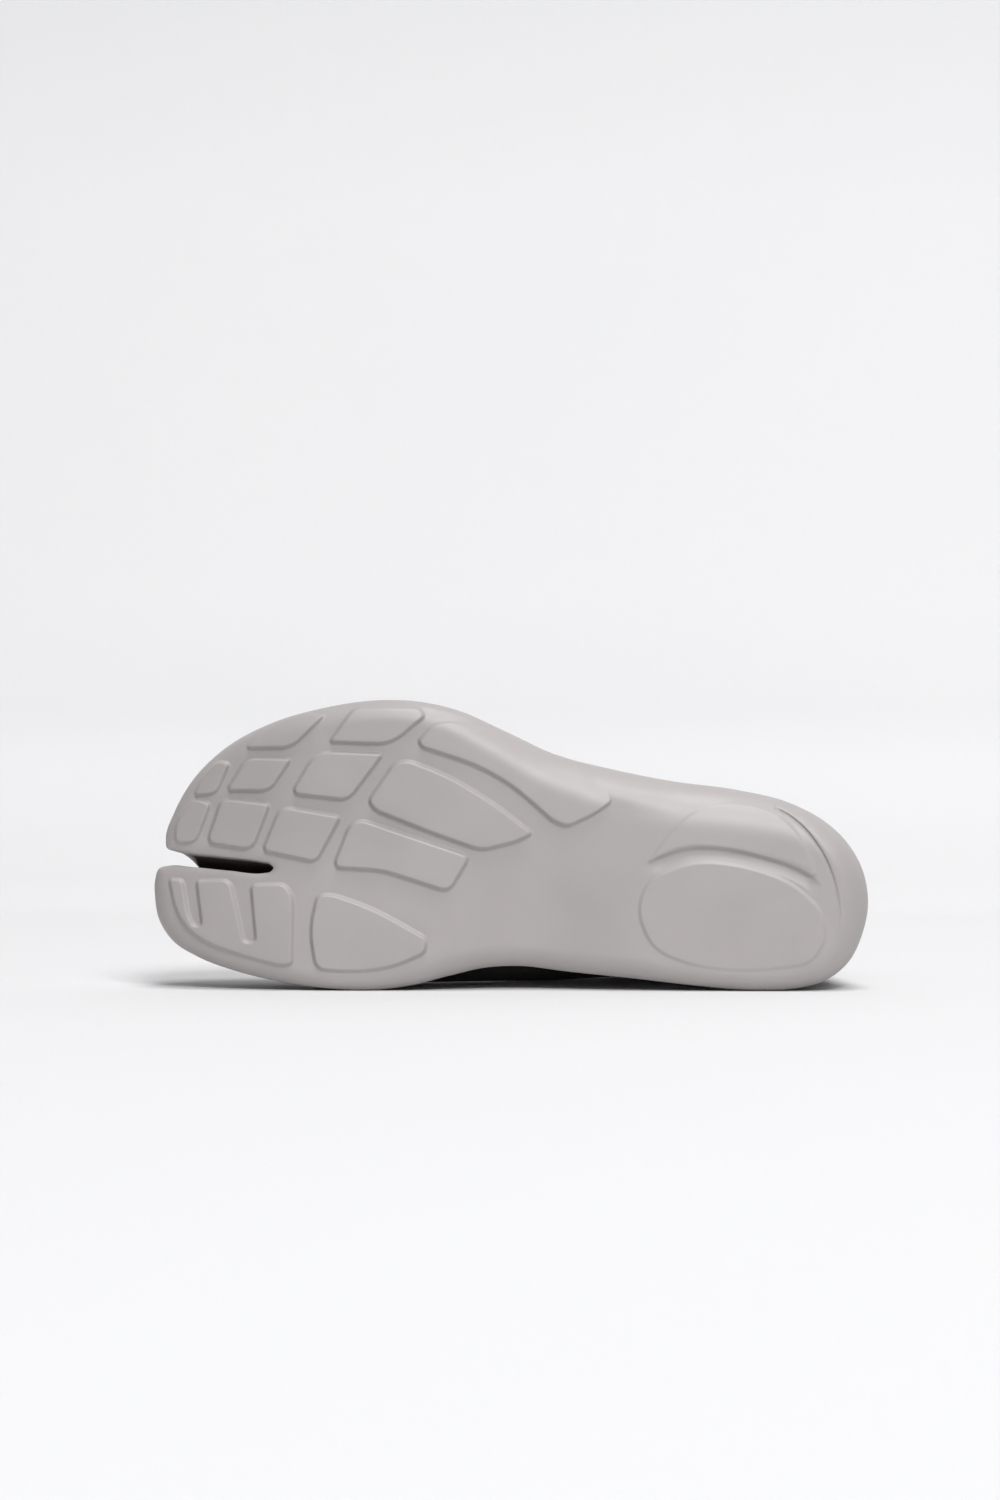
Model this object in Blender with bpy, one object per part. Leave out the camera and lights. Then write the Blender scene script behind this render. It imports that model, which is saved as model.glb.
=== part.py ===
# Left split-toe high-top shoe, lying on its inner side with its sole towards -Y.
# The shoe is drawn in its own frame, in millimetres: s runs forward from the back of the heel,
# w runs across from the inner side to the outer side, and h runs up from the tread.

import math

import bmesh
import bpy
import numpy as np
from mathutils import Matrix, Vector
from mathutils.geometry import delaunay_2d_cdt

MM = 0.001
LEAN_DEG = 4.78         # the tread leans back from upright by this much
ROLL_DEG = -0.11        # turn in the plane of the tread that brings ball and heel both to the floor

RIM_WALL = 2.2          # thickness of the cup's wall at its rim
WALL_LEAN = 0.09        # the cup's wall draws in by this share of its height
SLIT_LEAN = 0.19        # the slit's walls lean towards the big toe by this share of their height
FIT_GAP = 0.4           # air between the cup and the upper
FLOOR_GAP = 0.3         # air between the cup's floor and what stands on it
UPPER_WALL = 2.4
UPPER_LIFT = 0.5        # air under the upper's lower edge
INSOLE_GAP = 0.9
INSOLE_THICK = 4.0
LUG_HEIGHT = 1.4
LUG_FOOT = 0.8          # a pad's foot spreads this far outside its drawn edge
LUG_CREST = 0.5         # and its flat crest stays this far inside it

TOE_SPRING = 11.0
SPRING_FROM = 200.0
TOE_TIP = 275.0
ARCH_RISE = 6.0
ARCH_FROM, ARCH_TO = 90.0, 168.0
ROCKER_RISE = 4.0
ROCKER_FROM = 14.0

OUTLINE_STEP = 6.0      # spacing of the points along the outline
LUG_STEP = 5.0
FILL_STEP = 10.0

# Plan outline, from the end of the toe slit round the big toe, inner side, heel and outer side back to the slit.
# Columns: s, w, edge (width of the rounding under the edge).
OUTLINE = [
    (229.3, 47.4, 2.2),
    (230.4, 45.9, 2.2),
    (232.6, 45.4, 2.2),
    (245.0, 46.5, 2.2),
    (260.0, 48.1, 2.2),
    (269.0, 48.9, 2.4),
    (273.4, 47.8, 3.0),
    (275.0, 43.5, 4.0),
    (275.2, 37.0, 6.0),
    (273.6, 28.5, 6.5),
    (268.0, 20.0, 7.0),
    (258.0, 13.8, 7.0),
    (242.0, 8.0, 6.5),
    (222.0, 3.5, 6.0),
    (205.0, 1.3, 5.0),
    (190.0, 0.9, 5.5),
    (175.0, 2.8, 6.5),
    (160.0, 6.6, 8.0),
    (147.0, 9.5, 8.0),
    (134.0, 10.1, 8.0),
    (116.0, 8.0, 8.0),
    (90.0, 5.2, 8.0),
    (66.0, 2.4, 6.0),
    (42.0, 0.6, 6.0),
    (28.0, 1.5, 6.5),
    (17.0, 4.6, 7.5),
    (8.0, 11.6, 10.5),
    (2.4, 22.5, 11.0),
    (0.0, 34.5, 11.0),
    (1.8, 46.0, 11.0),
    (7.0, 56.0, 10.0),
    (16.0, 65.2, 9.0),
    (30.0, 73.0, 8.0),
    (50.0, 78.1, 8.0),
    (75.0, 81.6, 8.0),
    (100.0, 86.6, 8.0),
    (120.0, 91.8, 7.0),
    (140.0, 100.9, 6.0),
    (158.0, 108.7, 5.0),
    (174.0, 112.1, 4.5),
    (190.0, 112.4, 4.5),
    (210.0, 109.4, 5.0),
    (230.0, 103.6, 5.0),
    (248.0, 94.0, 5.0),
    (260.0, 82.5, 5.0),
    (267.5, 69.8, 5.0),
    (270.9, 59.5, 4.5),
    (270.2, 55.6, 3.0),
    (266.0, 54.3, 2.75),
    (250.0, 52.1, 2.2),
    (233.5, 49.9, 2.2),
    (230.6, 49.2, 2.2),
]
BIG_TOE_ROW, HEEL_ROW, TOES_ROW = 8, 28, 46
# The upper and the insole turn the corners at the slit's mouth more bluntly. Row of the outline: s, w.
BLUNT_CORNERS = {
    5: (265.5, 48.6),
    6: (272.1, 45.9),
    7: (274.7, 41.5),
    46: (269.9, 63.0),
    47: (268.2, 57.4),
    48: (262.5, 53.8),
}

# Heights along the length. Columns: s, floor of the cup, top of its rim.
HEIGHTS = [
    (0.0, 16.0, 31.0),
    (40.0, 15.0, 29.0),
    (90.0, 15.0, 28.5),
    (140.0, 13.0, 26.0),
    (190.0, 10.0, 23.0),
    (230.0, 11.8, 24.5),
    (275.0, 20.0, 33.0),
]

# Raised pads of the tread. Each row of a pad is a corner: s, w, radius of the corner.
LUGS = {
    "outer_front": [(240.6, 94.2, 2), (221.6, 95.0, 4), (210.8, 105.8, 1), (219.7, 106.5, 4), (234.0, 100.4, 4)],
    "outer_ball": [(208.5, 96.6, 3), (183.3, 96.0, 4), (172.1, 106.6, 2), (174.1, 109.7, 2), (198.8, 109.7, 3)],
    "outer_long": [(173.7, 96.6, 2), (167.5, 103.5, 4), (161.3, 104.6, 4), (134.6, 95.0, 9), (121.1, 86.1, 9),
                   (108.7, 76.8, 8), (99.4, 72.5, 4), (104.4, 68.3, 5), (118.0, 64.0, 5), (123.0, 66.3, 5),
                   (134.6, 78.7, 9), (150.1, 85.3, 9), (172.1, 94.2, 2)],
    "toe_outer": [(247.2, 88.2, 2), (251.6, 76.6, 3), (260.2, 75.6, 2), (257.0, 83.6, 4), (252.0, 89.0, 3)],
    "second_row_1": [(239.4, 89.8, 4), (222.6, 89.4, 2), (230.1, 77.4, 4), (247.6, 77.8, 3)],
    "second_row_2": [(212.4, 92.1, 6), (188.0, 90.9, 3), (200.0, 73.7, 4), (222.4, 76.0, 4)],
    "second_row_long": [(183.3, 87.2, 3), (177.5, 88.4, 4), (161.7, 82.2, 9), (144.3, 71.8, 9), (131.1, 60.5, 3),
                        (150.1, 54.3, 7), (169.4, 61.3, 9), (190.3, 69.4, 3), (193.0, 72.9, 3)],
    "toe_tip": [(260.6, 74.4, 2), (254.6, 72.5, 2), (260.4, 57.4, 4), (268.4, 57.4, 3), (268.0, 66.0, 4)],
    "third_row_1": [(249.5, 74.1, 4), (231.0, 72.1, 2), (237.5, 54.3, 5), (255.4, 57.3, 4)],
    "third_row_2": [(226.7, 71.2, 5), (204.0, 67.3, 2), (213.2, 50.0, 4), (233.8, 54.6, 3)],
    "third_row_long": [(200.0, 66.4, 6), (179.1, 58.6, 9), (156.3, 50.9, 4), (163.2, 38.5, 4), (179.5, 43.1, 9),
                       (189.1, 46.0, 9), (207.6, 47.2, 4)],
    "big_toe": [(270.4, 43.7, 2), (264.8, 43.2, 2), (262.6, 30.5, 6), (260.4, 25.6, 2), (257.2, 25.8, 2),
                (259.6, 42.8, 2), (246.4, 43.0, 4), (243.4, 33.0, 8), (240.4, 19.2, 2), (235.8, 19.4, 2),
                (238.0, 41.2, 3), (225.1, 41.4, 5), (221.4, 36.5, 5), (221.6, 11.6, 3), (226.0, 11.0, 4),
                (240.0, 15.6, 9), (254.0, 20.4, 9), (262.6, 25.6, 6), (267.2, 32.5, 6)],
    "big_toe_ball": [(212.4, 37.2, 5), (206.5, 37.6, 5), (190.6, 31.9, 9), (170.6, 18.0, 4), (198.8, 8.6, 9),
                     (212.6, 9.6, 4), (215.2, 24.0, 9)],
    "heel_crescent": [(83.4, 50.3, 2), (75.4, 62.1, 9), (65.8, 70.4, 9), (53.0, 73.7, 9), (40.2, 72.1, 8),
                      (30.7, 66.7, 8), (23.0, 56.1, 7), (19.6, 45.1, 2), (22.0, 44.6, 2), (33.7, 50.0, 9),
                      (49.9, 54.9, 9), (62.7, 56.4, 9), (73.0, 55.6, 7)],
    "heel_oval": [(88.6, 31.5, 9), (84.0, 44.0, 9), (66.0, 51.0, 9), (46.4, 48.8, 9), (28.6, 42.4, 9),
                  (17.0, 31.5, 9), (15.4, 20.9, 9), (21.9, 11.4, 9), (45.9, 9.0, 9), (66.9, 11.0, 9),
                  (83.0, 17.0, 9)],
}

# Where each spoke of the upper starts at the sole and where it ends above, from the fork of the toes back to the
# heel. Columns: foot_s, top_s, top_h, top_in, top_out (w on the two sides), rise (0 ridge, 1 edge of the collar).
TRUNK = [
    (222.0, 213.0, 52.0, 46.0, 46.0, 0.0),
    (205.0, 198.0, 55.5, 45.5, 45.5, 0.0),
    (188.0, 182.0, 60.5, 45.0, 45.0, 0.0),
    (170.0, 165.0, 67.0, 44.0, 44.0, 0.0),
    (152.0, 148.5, 75.0, 43.0, 43.0, 0.0),
    (136.0, 133.5, 84.5, 42.0, 42.0, 0.0),
    (122.0, 121.5, 95.5, 41.5, 41.5, 0.0),
    (111.0, 112.5, 107.5, 41.8, 41.8, 0.12),
    (103.0, 107.0, 119.5, 42.1, 42.1, 0.3),
    (97.0, 104.0, 131.0, 42.3, 42.3, 0.5),
    (92.0, 102.6, 130.6, 31.8, 52.8, 0.68),
    (86.0, 98.0, 129.9, 22.8, 61.8, 0.82),
    (78.0, 90.0, 128.8, 15.9, 68.5, 0.93),
    (66.0, 77.0, 127.6, 11.9, 72.3, 1.0),
    (52.0, 60.0, 127.0, 10.7, 73.3, 1.0),
    (38.0, 43.0, 127.2, 11.9, 71.9, 1.0),
    (26.0, 28.5, 128.0, 16.8, 66.8, 1.0),
    (15.0, 17.5, 129.2, 25.3, 58.3, 1.0),
    (6.0, 11.5, 130.4, 34.3, 49.8, 1.0),
    (0.0, 10.0, 130.8, 41.8, 41.8, 1.0),
]
COLLAR_FRONT_ROW = 9    # the ridge ends here
COLLAR_MIDDLE = (57.0, 42.0)
# Ridges of the two toe pockets, from the fork to the pocket's crown. Columns: s, w, h.
BIG_TOE_RIDGE = [(213.0, 46.0, 52.0), (234.0, 33.0, 48.5), (257.0, 33.0, 43.5)]
TOES_RIDGE = [(213.0, 46.0, 52.0), (230.0, 64.0, 50.0), (249.0, 72.0, 45.0)]
ARCH_BULGE = 25.0       # how far the upper's handles swing out past the sole's edge at the arch
SWELL_MIDDLE, SWELL_BACK, SWELL_FRONT = 136.0, 64.0, 52.0   # where that swell is greatest, and its reach each way
HEEL_DRAW = 3.0         # and draws in by this much beside the heel
SPOKE_POINTS = 8
RIDGE_PARTS, TIP_PARTS, TRUNK_PARTS = 6, 7, 2
FULLNESS = 0.62         # roundness of the upper's sections, 0.55 being an ellipse


def smooth(x):
    x = np.clip(x, 0.0, 1.0)
    return x * x * (3.0 - 2.0 * x)


def curve_through(rows, step, closed):
    """Points on a smooth curve through all rows; the row's further columns run along with it."""
    p = np.array(rows, float)
    n = len(p)
    before = np.roll(p, 1, axis=0)
    after = np.roll(p, -1, axis=0)
    if not closed:
        before[0], after[-1] = 2 * p[0] - p[1], 2 * p[-1] - p[-2]
    back = np.linalg.norm((p - before)[:, :2], axis=1)[:, None]
    ahead = np.linalg.norm((after - p)[:, :2], axis=1)[:, None]
    slope = ((p - before) / back * ahead + (after - p) / ahead * back) / (back + ahead)
    out, marks = [], []
    for i in range(n if closed else n - 1):
        j = (i + 1) % n
        length = float(ahead[i, 0])
        count = max(1, round(length / step))
        marks.append(len(out))
        for t in np.arange(count) / count:
            a, b = 2 * t ** 3 - 3 * t ** 2 + 1, t ** 3 - 2 * t ** 2 + t
            c, d = -2 * t ** 3 + 3 * t ** 2, t ** 3 - t ** 2
            out.append(a * p[i] + b * length * slope[i] + c * p[j] + d * length * slope[j])
    if not closed:
        out.append(p[-1])
    return np.array(out), marks


def inner_outline():
    rows = list(OUTLINE)
    for row, (s, w) in BLUNT_CORNERS.items():
        rows[row] = (s, w, OUTLINE[row][2])
    return rows


def inward(loop):
    """Unit normals of a closed loop of points, pointing into the sole."""
    run = np.roll(loop[:, :2], -1, axis=0) - np.roll(loop[:, :2], 1, axis=0)
    run /= np.linalg.norm(run, axis=1)[:, None]
    return np.stack([run[:, 1], -run[:, 0]], axis=1)


def rounded(corners, step):
    """A closed polygon with each corner rounded by its own radius."""
    c = np.array(corners, float)
    out = []
    for i in range(len(c)):
        p, q, r = c[i - 1, :2], c[i, :2], c[(i + 1) % len(c), :2]
        to_p, to_r = np.linalg.norm(p - q), np.linalg.norm(r - q)
        cut = min(c[i, 2], 0.48 * to_p, 0.48 * to_r)
        a, b = q + (p - q) / to_p * cut, q + (r - q) / to_r * cut
        count = max(2, round(2.2 * cut / step))
        for t in np.linspace(0, 1, count + 1):
            out.append((1 - t) ** 2 * a + 2 * t * (1 - t) * q + t * t * b)
        room = to_r - cut - min(c[(i + 1) % len(c), 2], 0.48 * to_r)
        for t in np.arange(1, round(room / step)) / max(1, round(room / step)):
            out.append(b + (r - q) / to_r * room * t)
    return np.array(out)


def tread_height(s, w):
    spring = TOE_SPRING * (np.clip(s - SPRING_FROM, 0, None) / (TOE_TIP - SPRING_FROM)) ** 2
    along = np.clip((s - ARCH_FROM) / (ARCH_TO - ARCH_FROM), 0, 1)
    across = 0.25 + 0.75 * smooth((70.0 - w) / 55.0)
    arch = ARCH_RISE * np.sin(math.pi * along) ** 2 * across
    rocker = ROCKER_RISE * (np.clip(ROCKER_FROM - s, 0, None) / ROCKER_FROM) ** 2
    return LUG_HEIGHT + spring + arch + rocker


def height_at(s, column):
    table = np.array(HEIGHTS)
    return np.interp(s, table[:, 0], table[:, column])


class Loop:
    """The outline's points with what is needed to stand walls on them."""

    def __init__(self, points):
        self.s, self.w, self.edge = points.T
        self.normal = inward(points)
        self.skew = np.clip((3.0 - self.edge) / 0.8, 0, 1)
        self.drop = np.clip(0.85 * self.edge, 2.4, 8.0)
        self.low = tread_height(self.s, self.w) + self.drop
        self.rim = height_at(self.s, 2)
        self.floor = height_at(self.s, 1)
        self.lean = WALL_LEAN * (1 - self.skew)
        self.cup = self.lean * (self.rim - self.low) + RIM_WALL

    def at(self, inset, h, pick=slice(None)):
        """Points at height h, moved in from the outline by the inset, on the slit's leaning walls where it applies."""
        h = np.broadcast_to(h, self.s.shape)[pick]
        inset = np.broadcast_to(inset, self.s.shape)[pick]
        lean = SLIT_LEAN * self.skew[pick] * np.clip(h - self.low[pick], 0, None)
        s = self.s[pick] + self.normal[pick, 0] * inset
        w = self.w[pick] + self.normal[pick, 1] * inset - lean
        return np.stack([s, w, np.array(h, float)], axis=1)


def inside(points, loop):
    """Which points lie within a closed loop."""
    x, y = points[:, 0][:, None], points[:, 1][:, None]
    ax, ay = loop[:, 0], loop[:, 1]
    bx, by = np.roll(ax, -1), np.roll(ay, -1)
    crosses = (ay > y) != (by > y)
    at = ax + (y - ay) / np.where(by == ay, 1e-9, by - ay) * (bx - ax)
    return (np.sum(crosses & (x < at), axis=1) % 2).astype(bool)


def distance(points, others):
    gap = points[:, None, :2] - others[None, :, :2]
    return np.sqrt((gap ** 2).sum(axis=2)).min(axis=1)


def fill(rim, rings, step):
    """Triangles that fill a loop of points, through the points of any rings within it."""
    points, edges = [rim[:, :2]], []
    start = len(rim)
    for ring in rings:
        keep = inside(ring, rim) & (distance(ring, rim) > 1.2)
        number = np.cumsum(keep) - 1 + start
        points.append(ring[keep])
        for i in range(len(ring)):
            j = (i + 1) % len(ring)
            if keep[i] and keep[j]:
                edges.append((int(number[i]), int(number[j])))
        start += int(keep.sum())
    low, high = rim[:, :2].min(axis=0), rim[:, :2].max(axis=0)
    rows = np.arange(low[1], high[1], step * 0.87)
    grid = [(x + step * 0.5 * (k % 2), y) for k, y in enumerate(rows) for x in np.arange(low[0], high[0], step)]
    grid = np.array(grid)
    known = np.concatenate(points)
    grid = grid[inside(grid, rim) & (distance(grid, known) > 0.5 * step)]
    flat = np.concatenate([known, grid])
    vertices, _, faces, _, _, _ = delaunay_2d_cdt(
        [Vector(p) for p in flat], edges, [list(range(len(rim)))], 1, 1e-5)
    return np.array([tuple(v) for v in vertices]), faces


class Builder:
    """Collects points and faces of one solid and welds them into a mesh."""

    def __init__(self):
        self.points, self.faces = [], []

    def add(self, points):
        first = len(self.points)
        self.points.extend(map(tuple, points))
        return list(range(first, first + len(points)))

    def strip(self, a, b, closed=True):
        for i in range(len(a) if closed else len(a) - 1):
            j = (i + 1) % len(a)
            self.faces.append((a[i], a[j], b[j], b[i]))

    def cap(self, rim, vertices, faces, height, turn):
        """Fills a ring of known points with a sheet whose heights come from a function."""
        inner = vertices[len(rim):]
        index = rim + self.add(np.column_stack([inner, height(inner[:, 0], inner[:, 1])]))
        for face in faces:
            face = [index[k] for k in face]
            self.faces.append(tuple(face[::-1] if turn else face))

    def finish(self, name, place, material):
        mesh = bpy.data.meshes.new(name)
        mesh.from_pydata([place @ (Vector(p) * MM) for p in self.points], [], self.faces)
        bm = bmesh.new()
        bm.from_mesh(mesh)
        bmesh.ops.remove_doubles(bm, verts=bm.verts, dist=0.000002)
        bmesh.ops.recalc_face_normals(bm, faces=bm.faces)
        bm.to_mesh(mesh)
        bm.free()
        mesh.materials.append(material)
        for polygon in mesh.polygons:
            polygon.use_smooth = True
        part = bpy.data.objects.new(name, mesh)
        bpy.data.collections["split_toe_high_top"].objects.link(part)
        return part


def make_material(name, colour, roughness):
    material = bpy.data.materials.new(name)
    material.use_nodes = True
    shader = material.node_tree.nodes["Principled BSDF"]
    shader.inputs["Base Color"].default_value = (*colour, 1.0)
    shader.inputs["Roughness"].default_value = roughness
    return material


def lug_rings():
    """Foot ring and crest ring of each pad, with the drop of each from the tread's base."""
    rings, drops = [], []
    for corners in LUGS.values():
        edge = rounded(corners, LUG_STEP)
        turn = np.roll(edge, -1, axis=0)
        area = np.sum(edge[:, 0] * turn[:, 1] - turn[:, 0] * edge[:, 1])
        normal = inward(edge) * (-1.0 if area > 0 else 1.0)
        for inset, drop in ((-LUG_FOOT, 0.0), (LUG_CREST, LUG_HEIGHT)):
            rings.append(edge + normal * inset)
            drops.append(drop)
    return rings, drops


def build_sole(place, material):
    loop = Loop(curve_through(OUTLINE, OUTLINE_STEP, True)[0])
    sole = Builder()
    rings = []
    for angle in np.radians((0, 30, 60, 90)):
        points = loop.at(loop.edge * (1 - math.sin(angle)), 0.0)
        rise = loop.drop * (1 - math.cos(angle))
        points[:, 2] = tread_height(points[:, 0], points[:, 1]) + rise
        rings.append(sole.add(points))
    low = np.array(sole.points)[rings[-1], 2]
    for share in (0.5, 1.0):
        h = low + (loop.rim - 0.8 - low) * share
        rings.append(sole.add(loop.at(loop.lean * (h - loop.low), h)))
    rings.append(sole.add(loop.at(loop.cup - RIM_WALL + 0.8, loop.rim)))
    rings.append(sole.add(loop.at(loop.cup, loop.rim)))
    rings.append(sole.add(loop.at(loop.cup, loop.floor)))
    for a, b in zip(rings, rings[1:]):
        sole.strip(a, b)

    pads, drops = lug_rings()
    rim = np.array(sole.points)[rings[0]]
    vertices, faces = fill(rim, pads, FILL_STEP)
    crest = [edge for edge, drop in zip(pads, drops) if drop]

    def tread(s, w):
        points = np.column_stack([s, w])
        raised = np.zeros(len(points), bool)
        for edge in crest:
            raised |= inside(points, edge) | (distance(points, edge) < 0.05)
        return tread_height(s, w) - LUG_HEIGHT * raised

    sole.cap(rings[0], vertices, faces, tread, False)
    rim = np.array(sole.points)[rings[-1]]
    vertices, faces = fill(rim, [], FILL_STEP * 1.5)
    sole.cap(rings[-1], vertices, faces, lambda s, w: height_at(s, 1), True)
    return sole.finish("sole", place, material)


def ridge_points(rows, count):
    points, _ = curve_through(rows, 0.5, False)
    run = np.concatenate([[0], np.cumsum(np.linalg.norm(np.diff(points, axis=0), axis=1))])
    at = np.linspace(0, run[-1], count + 1)
    return np.column_stack([np.interp(at, run, points[:, k]) for k in range(3)])


def trunk_rows(count):
    """The trunk's table run through by a smooth curve, each gap between rows cut into a number of parts."""
    table = np.array(TRUNK)
    keyed = np.column_stack([np.arange(len(table)), np.zeros(len(table)), table])
    rows = curve_through(keyed, 1.0 / count, False)[0][:, 2:]
    front = COLLAR_FRONT_ROW * count
    rows[:front + 1, 3:5] = rows[:front + 1, 3:5].mean(axis=1, keepdims=True)
    rows[:, 5] = np.clip(rows[:, 5], 0.0, 1.0)
    return rows, front


class Spokes:
    """The lines the upper is lofted from: each rises from the outline and ends on a ridge or on the collar."""

    def __init__(self):
        fine, self.marks = curve_through(inner_outline(), 0.5, True)
        self.loop = Loop(fine)
        self.picks, self.tops, self.inside_way, self.rises, self.on_collar = [], [], [], [], []
        marks, total = self.marks, len(fine)
        big = ridge_points(BIG_TOE_RIDGE, RIDGE_PARTS)
        toes = ridge_points(TOES_RIDGE, RIDGE_PARTS)
        rows, front = trunk_rows(TRUNK_PARTS)
        heel = marks[HEEL_ROW]
        inner_side = fine[marks[BIG_TOE_ROW]:heel + 1, 0]
        outer_side = fine[heel:marks[TOES_ROW], 0]
        trunk_in = [int(np.argmin(np.abs(inner_side - f))) + marks[BIG_TOE_ROW] for f in rows[:, 0]]
        trunk_out = [int(np.argmin(np.abs(outer_side - f))) + heel for f in rows[:, 0]]
        self.run(marks[0], marks[2] - 1, 2, big[:1])
        self.run(marks[2], marks[4] + 6, RIDGE_PARTS, big)
        self.run(marks[5], marks[BIG_TOE_ROW] + 14, TIP_PARTS, big[-1:])
        self.run(marks[9] + 10, trunk_in[0], RIDGE_PARTS, big[::-1])
        self.trunk(rows, front, trunk_in, 3, range(1, len(rows)))
        self.trunk(rows, front, trunk_out, 4, range(len(rows) - 2, 0, -1))
        self.run(trunk_out[0], marks[44] + 6, RIDGE_PARTS, toes)
        self.run(marks[45], marks[48] - 4, TIP_PARTS, toes[-1:])
        self.run(marks[48] + 6, marks[50], RIDGE_PARTS, toes[::-1])
        self.run(marks[51] - 1, total - 2, 1, toes[:1])
        self.picks = np.array(self.picks)
        self.tops, self.inside_way = np.array(self.tops), np.array(self.inside_way)
        self.rises = np.array(self.rises)[:, None]

    def add(self, pick, top, way, rise, on_collar):
        self.picks.append(pick)
        self.tops.append(top)
        self.inside_way.append(way)
        self.rises.append(rise)
        self.on_collar.append(on_collar)

    def run(self, first, last, count, tops):
        """Spokes spread evenly over a stretch of the outline, to a row of tops or all to one."""
        stretch = np.round(np.linspace(first, last, count + 1)).astype(int)
        for k, index in enumerate(stretch % len(self.loop.s)):
            self.add(int(index), tops[k if len(tops) > 1 else 0], (0.0, 0.0, -1.0), 0.0, False)

    def trunk(self, rows, front, feet, column, order):
        along = np.gradient(rows[:, 1:3], axis=0)
        along /= np.linalg.norm(along, axis=1)[:, None]
        for k in order:
            top = np.array([rows[k, 1], rows[k, column], rows[k, 2]])
            if k <= front:
                way = np.array([-along[k, 1], 0.0, along[k, 0]])
            else:
                way = np.array([*(np.array(COLLAR_MIDDLE) - top[:2]), 0.0])
            self.add(feet[k], top, way / np.linalg.norm(way), float(rows[k, 5]), k >= front)

    def skin(self, upper, depth):
        """Rings of one skin, the given depth inside the outer one."""
        loop, picks = self.loop, self.picks
        wall = loop.cup + FIT_GAP + depth
        bottom = loop.at(wall, loop.floor + UPPER_LIFT, picks)
        foot = loop.at(wall, loop.rim + 1.0, picks)
        top = self.tops + self.inside_way * depth
        gap, rise = top - foot, self.rises
        level = gap * (1, 1, 0)
        reach = np.linalg.norm(level, axis=1)[:, None]
        across = np.column_stack([0 * reach, np.sign(gap[:, 1:2]), 0 * reach])
        sideways = np.where(rise > 0, across, level / reach)
        inner = foot[:, 1] < 30
        span = np.where(foot[:, 0] < SWELL_MIDDLE, SWELL_BACK, SWELL_FRONT)
        arch = ARCH_BULGE * smooth(1 - np.abs(foot[:, 0] - SWELL_MIDDLE) / span)
        heel = HEEL_DRAW * smooth((100.0 - foot[:, 0]) / 40.0) * smooth((foot[:, 0] - 8.0) / 20.0)
        up = np.column_stack([0 * arch, (heel - arch) * inner, 0.55 * gap[:, 2]])
        back = rise * np.array([[0.1, 0.0, -0.4]]) * gap[:, 2:] - (1 - rise) * sideways * reach * FULLNESS
        first, second = foot + up, top + back
        rings = [upper.add(bottom), upper.add(foot)]
        for t in np.arange(1, SPOKE_POINTS + 1) / SPOKE_POINTS:
            rings.append(upper.add((1 - t) ** 3 * foot + 3 * t * (1 - t) ** 2 * first
                                   + 3 * t * t * (1 - t) * second + t ** 3 * top))
        return rings


def build_upper(place, material):
    spokes = Spokes()
    upper = Builder()
    outer, inner = spokes.skin(upper, 0.0), spokes.skin(upper, UPPER_WALL)
    for rings in (outer, inner):
        for a, b in zip(rings, rings[1:]):
            upper.strip(a, b)
    upper.strip(outer[0], inner[0])
    collar = [k for k, there in enumerate(spokes.on_collar) if there]
    upper.strip([outer[-1][k] for k in collar], [inner[-1][k] for k in collar], closed=False)
    return upper.finish("upper", place, material)


def build_insole(place, material):
    fine = curve_through(inner_outline(), 0.5, True)[0]
    loop = Loop(fine)
    inset = loop.cup + FIT_GAP + UPPER_WALL + INSOLE_GAP
    edge = loop.at(inset + 0.8, 0.0)
    clear = np.flatnonzero(distance(edge, fine) > inset + 0.75)
    run = np.cumsum(np.linalg.norm(edge[clear] - np.roll(edge[clear], 1, axis=0), axis=1))
    clear = clear[np.searchsorted(run, np.arange(run[0], run[-1], 0.7 * OUTLINE_STEP))]
    insole = Builder()
    rings = []
    for h, more in ((FLOOR_GAP, 0.0), (FLOOR_GAP + INSOLE_THICK - 0.8, 0.0), (FLOOR_GAP + INSOLE_THICK, 0.8)):
        rings.append(insole.add(loop.at(inset + more, loop.floor + h, clear)))
    for a, b in zip(rings, rings[1:]):
        insole.strip(a, b)
    for ring, lift, turn in ((rings[0], FLOOR_GAP, False), (rings[-1], FLOOR_GAP + INSOLE_THICK, True)):
        rim = np.array(insole.points)[ring]
        vertices, faces = fill(rim, [], FILL_STEP * 1.5)
        insole.cap(ring, vertices, faces, lambda s, w, lift=lift: height_at(s, 1) + lift, turn)
    return insole.finish("insole", place, material)


def lying():
    """The matrix that lays the shoe on its inner side: toe to -X, outer side up, tread towards -Y."""
    axes = Matrix(((-1, 0, 0, 0), (0, 0, 1, 0), (0, 1, 0, 0), (0, 0, 0, 1)))
    lean = Matrix.Rotation(math.radians(-LEAN_DEG), 4, "X")
    return lean @ Matrix.Rotation(math.radians(ROLL_DEG), 4, "Y") @ axes


def set_down(parts):
    """Moves the meshes so that the box round them stands on the floor, centred on the origin."""
    bpy.context.view_layer.update()
    corners = []
    for part in parts:
        whole = part.evaluated_get(bpy.context.evaluated_depsgraph_get())
        corners += [v.co.copy() for v in whole.to_mesh().vertices]
        whole.to_mesh_clear()
    points = np.array(corners)
    low, high = points.min(axis=0), points.max(axis=0)
    shift = Matrix.Translation((-(low[0] + high[0]) / 2, -(low[1] + high[1]) / 2, -low[2]))
    for part in parts:
        part.data.transform(shift)


for old in list(bpy.data.objects):
    bpy.data.objects.remove(old)
group = bpy.data.collections.new("split_toe_high_top")
bpy.context.scene.collection.children.link(group)

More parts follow.
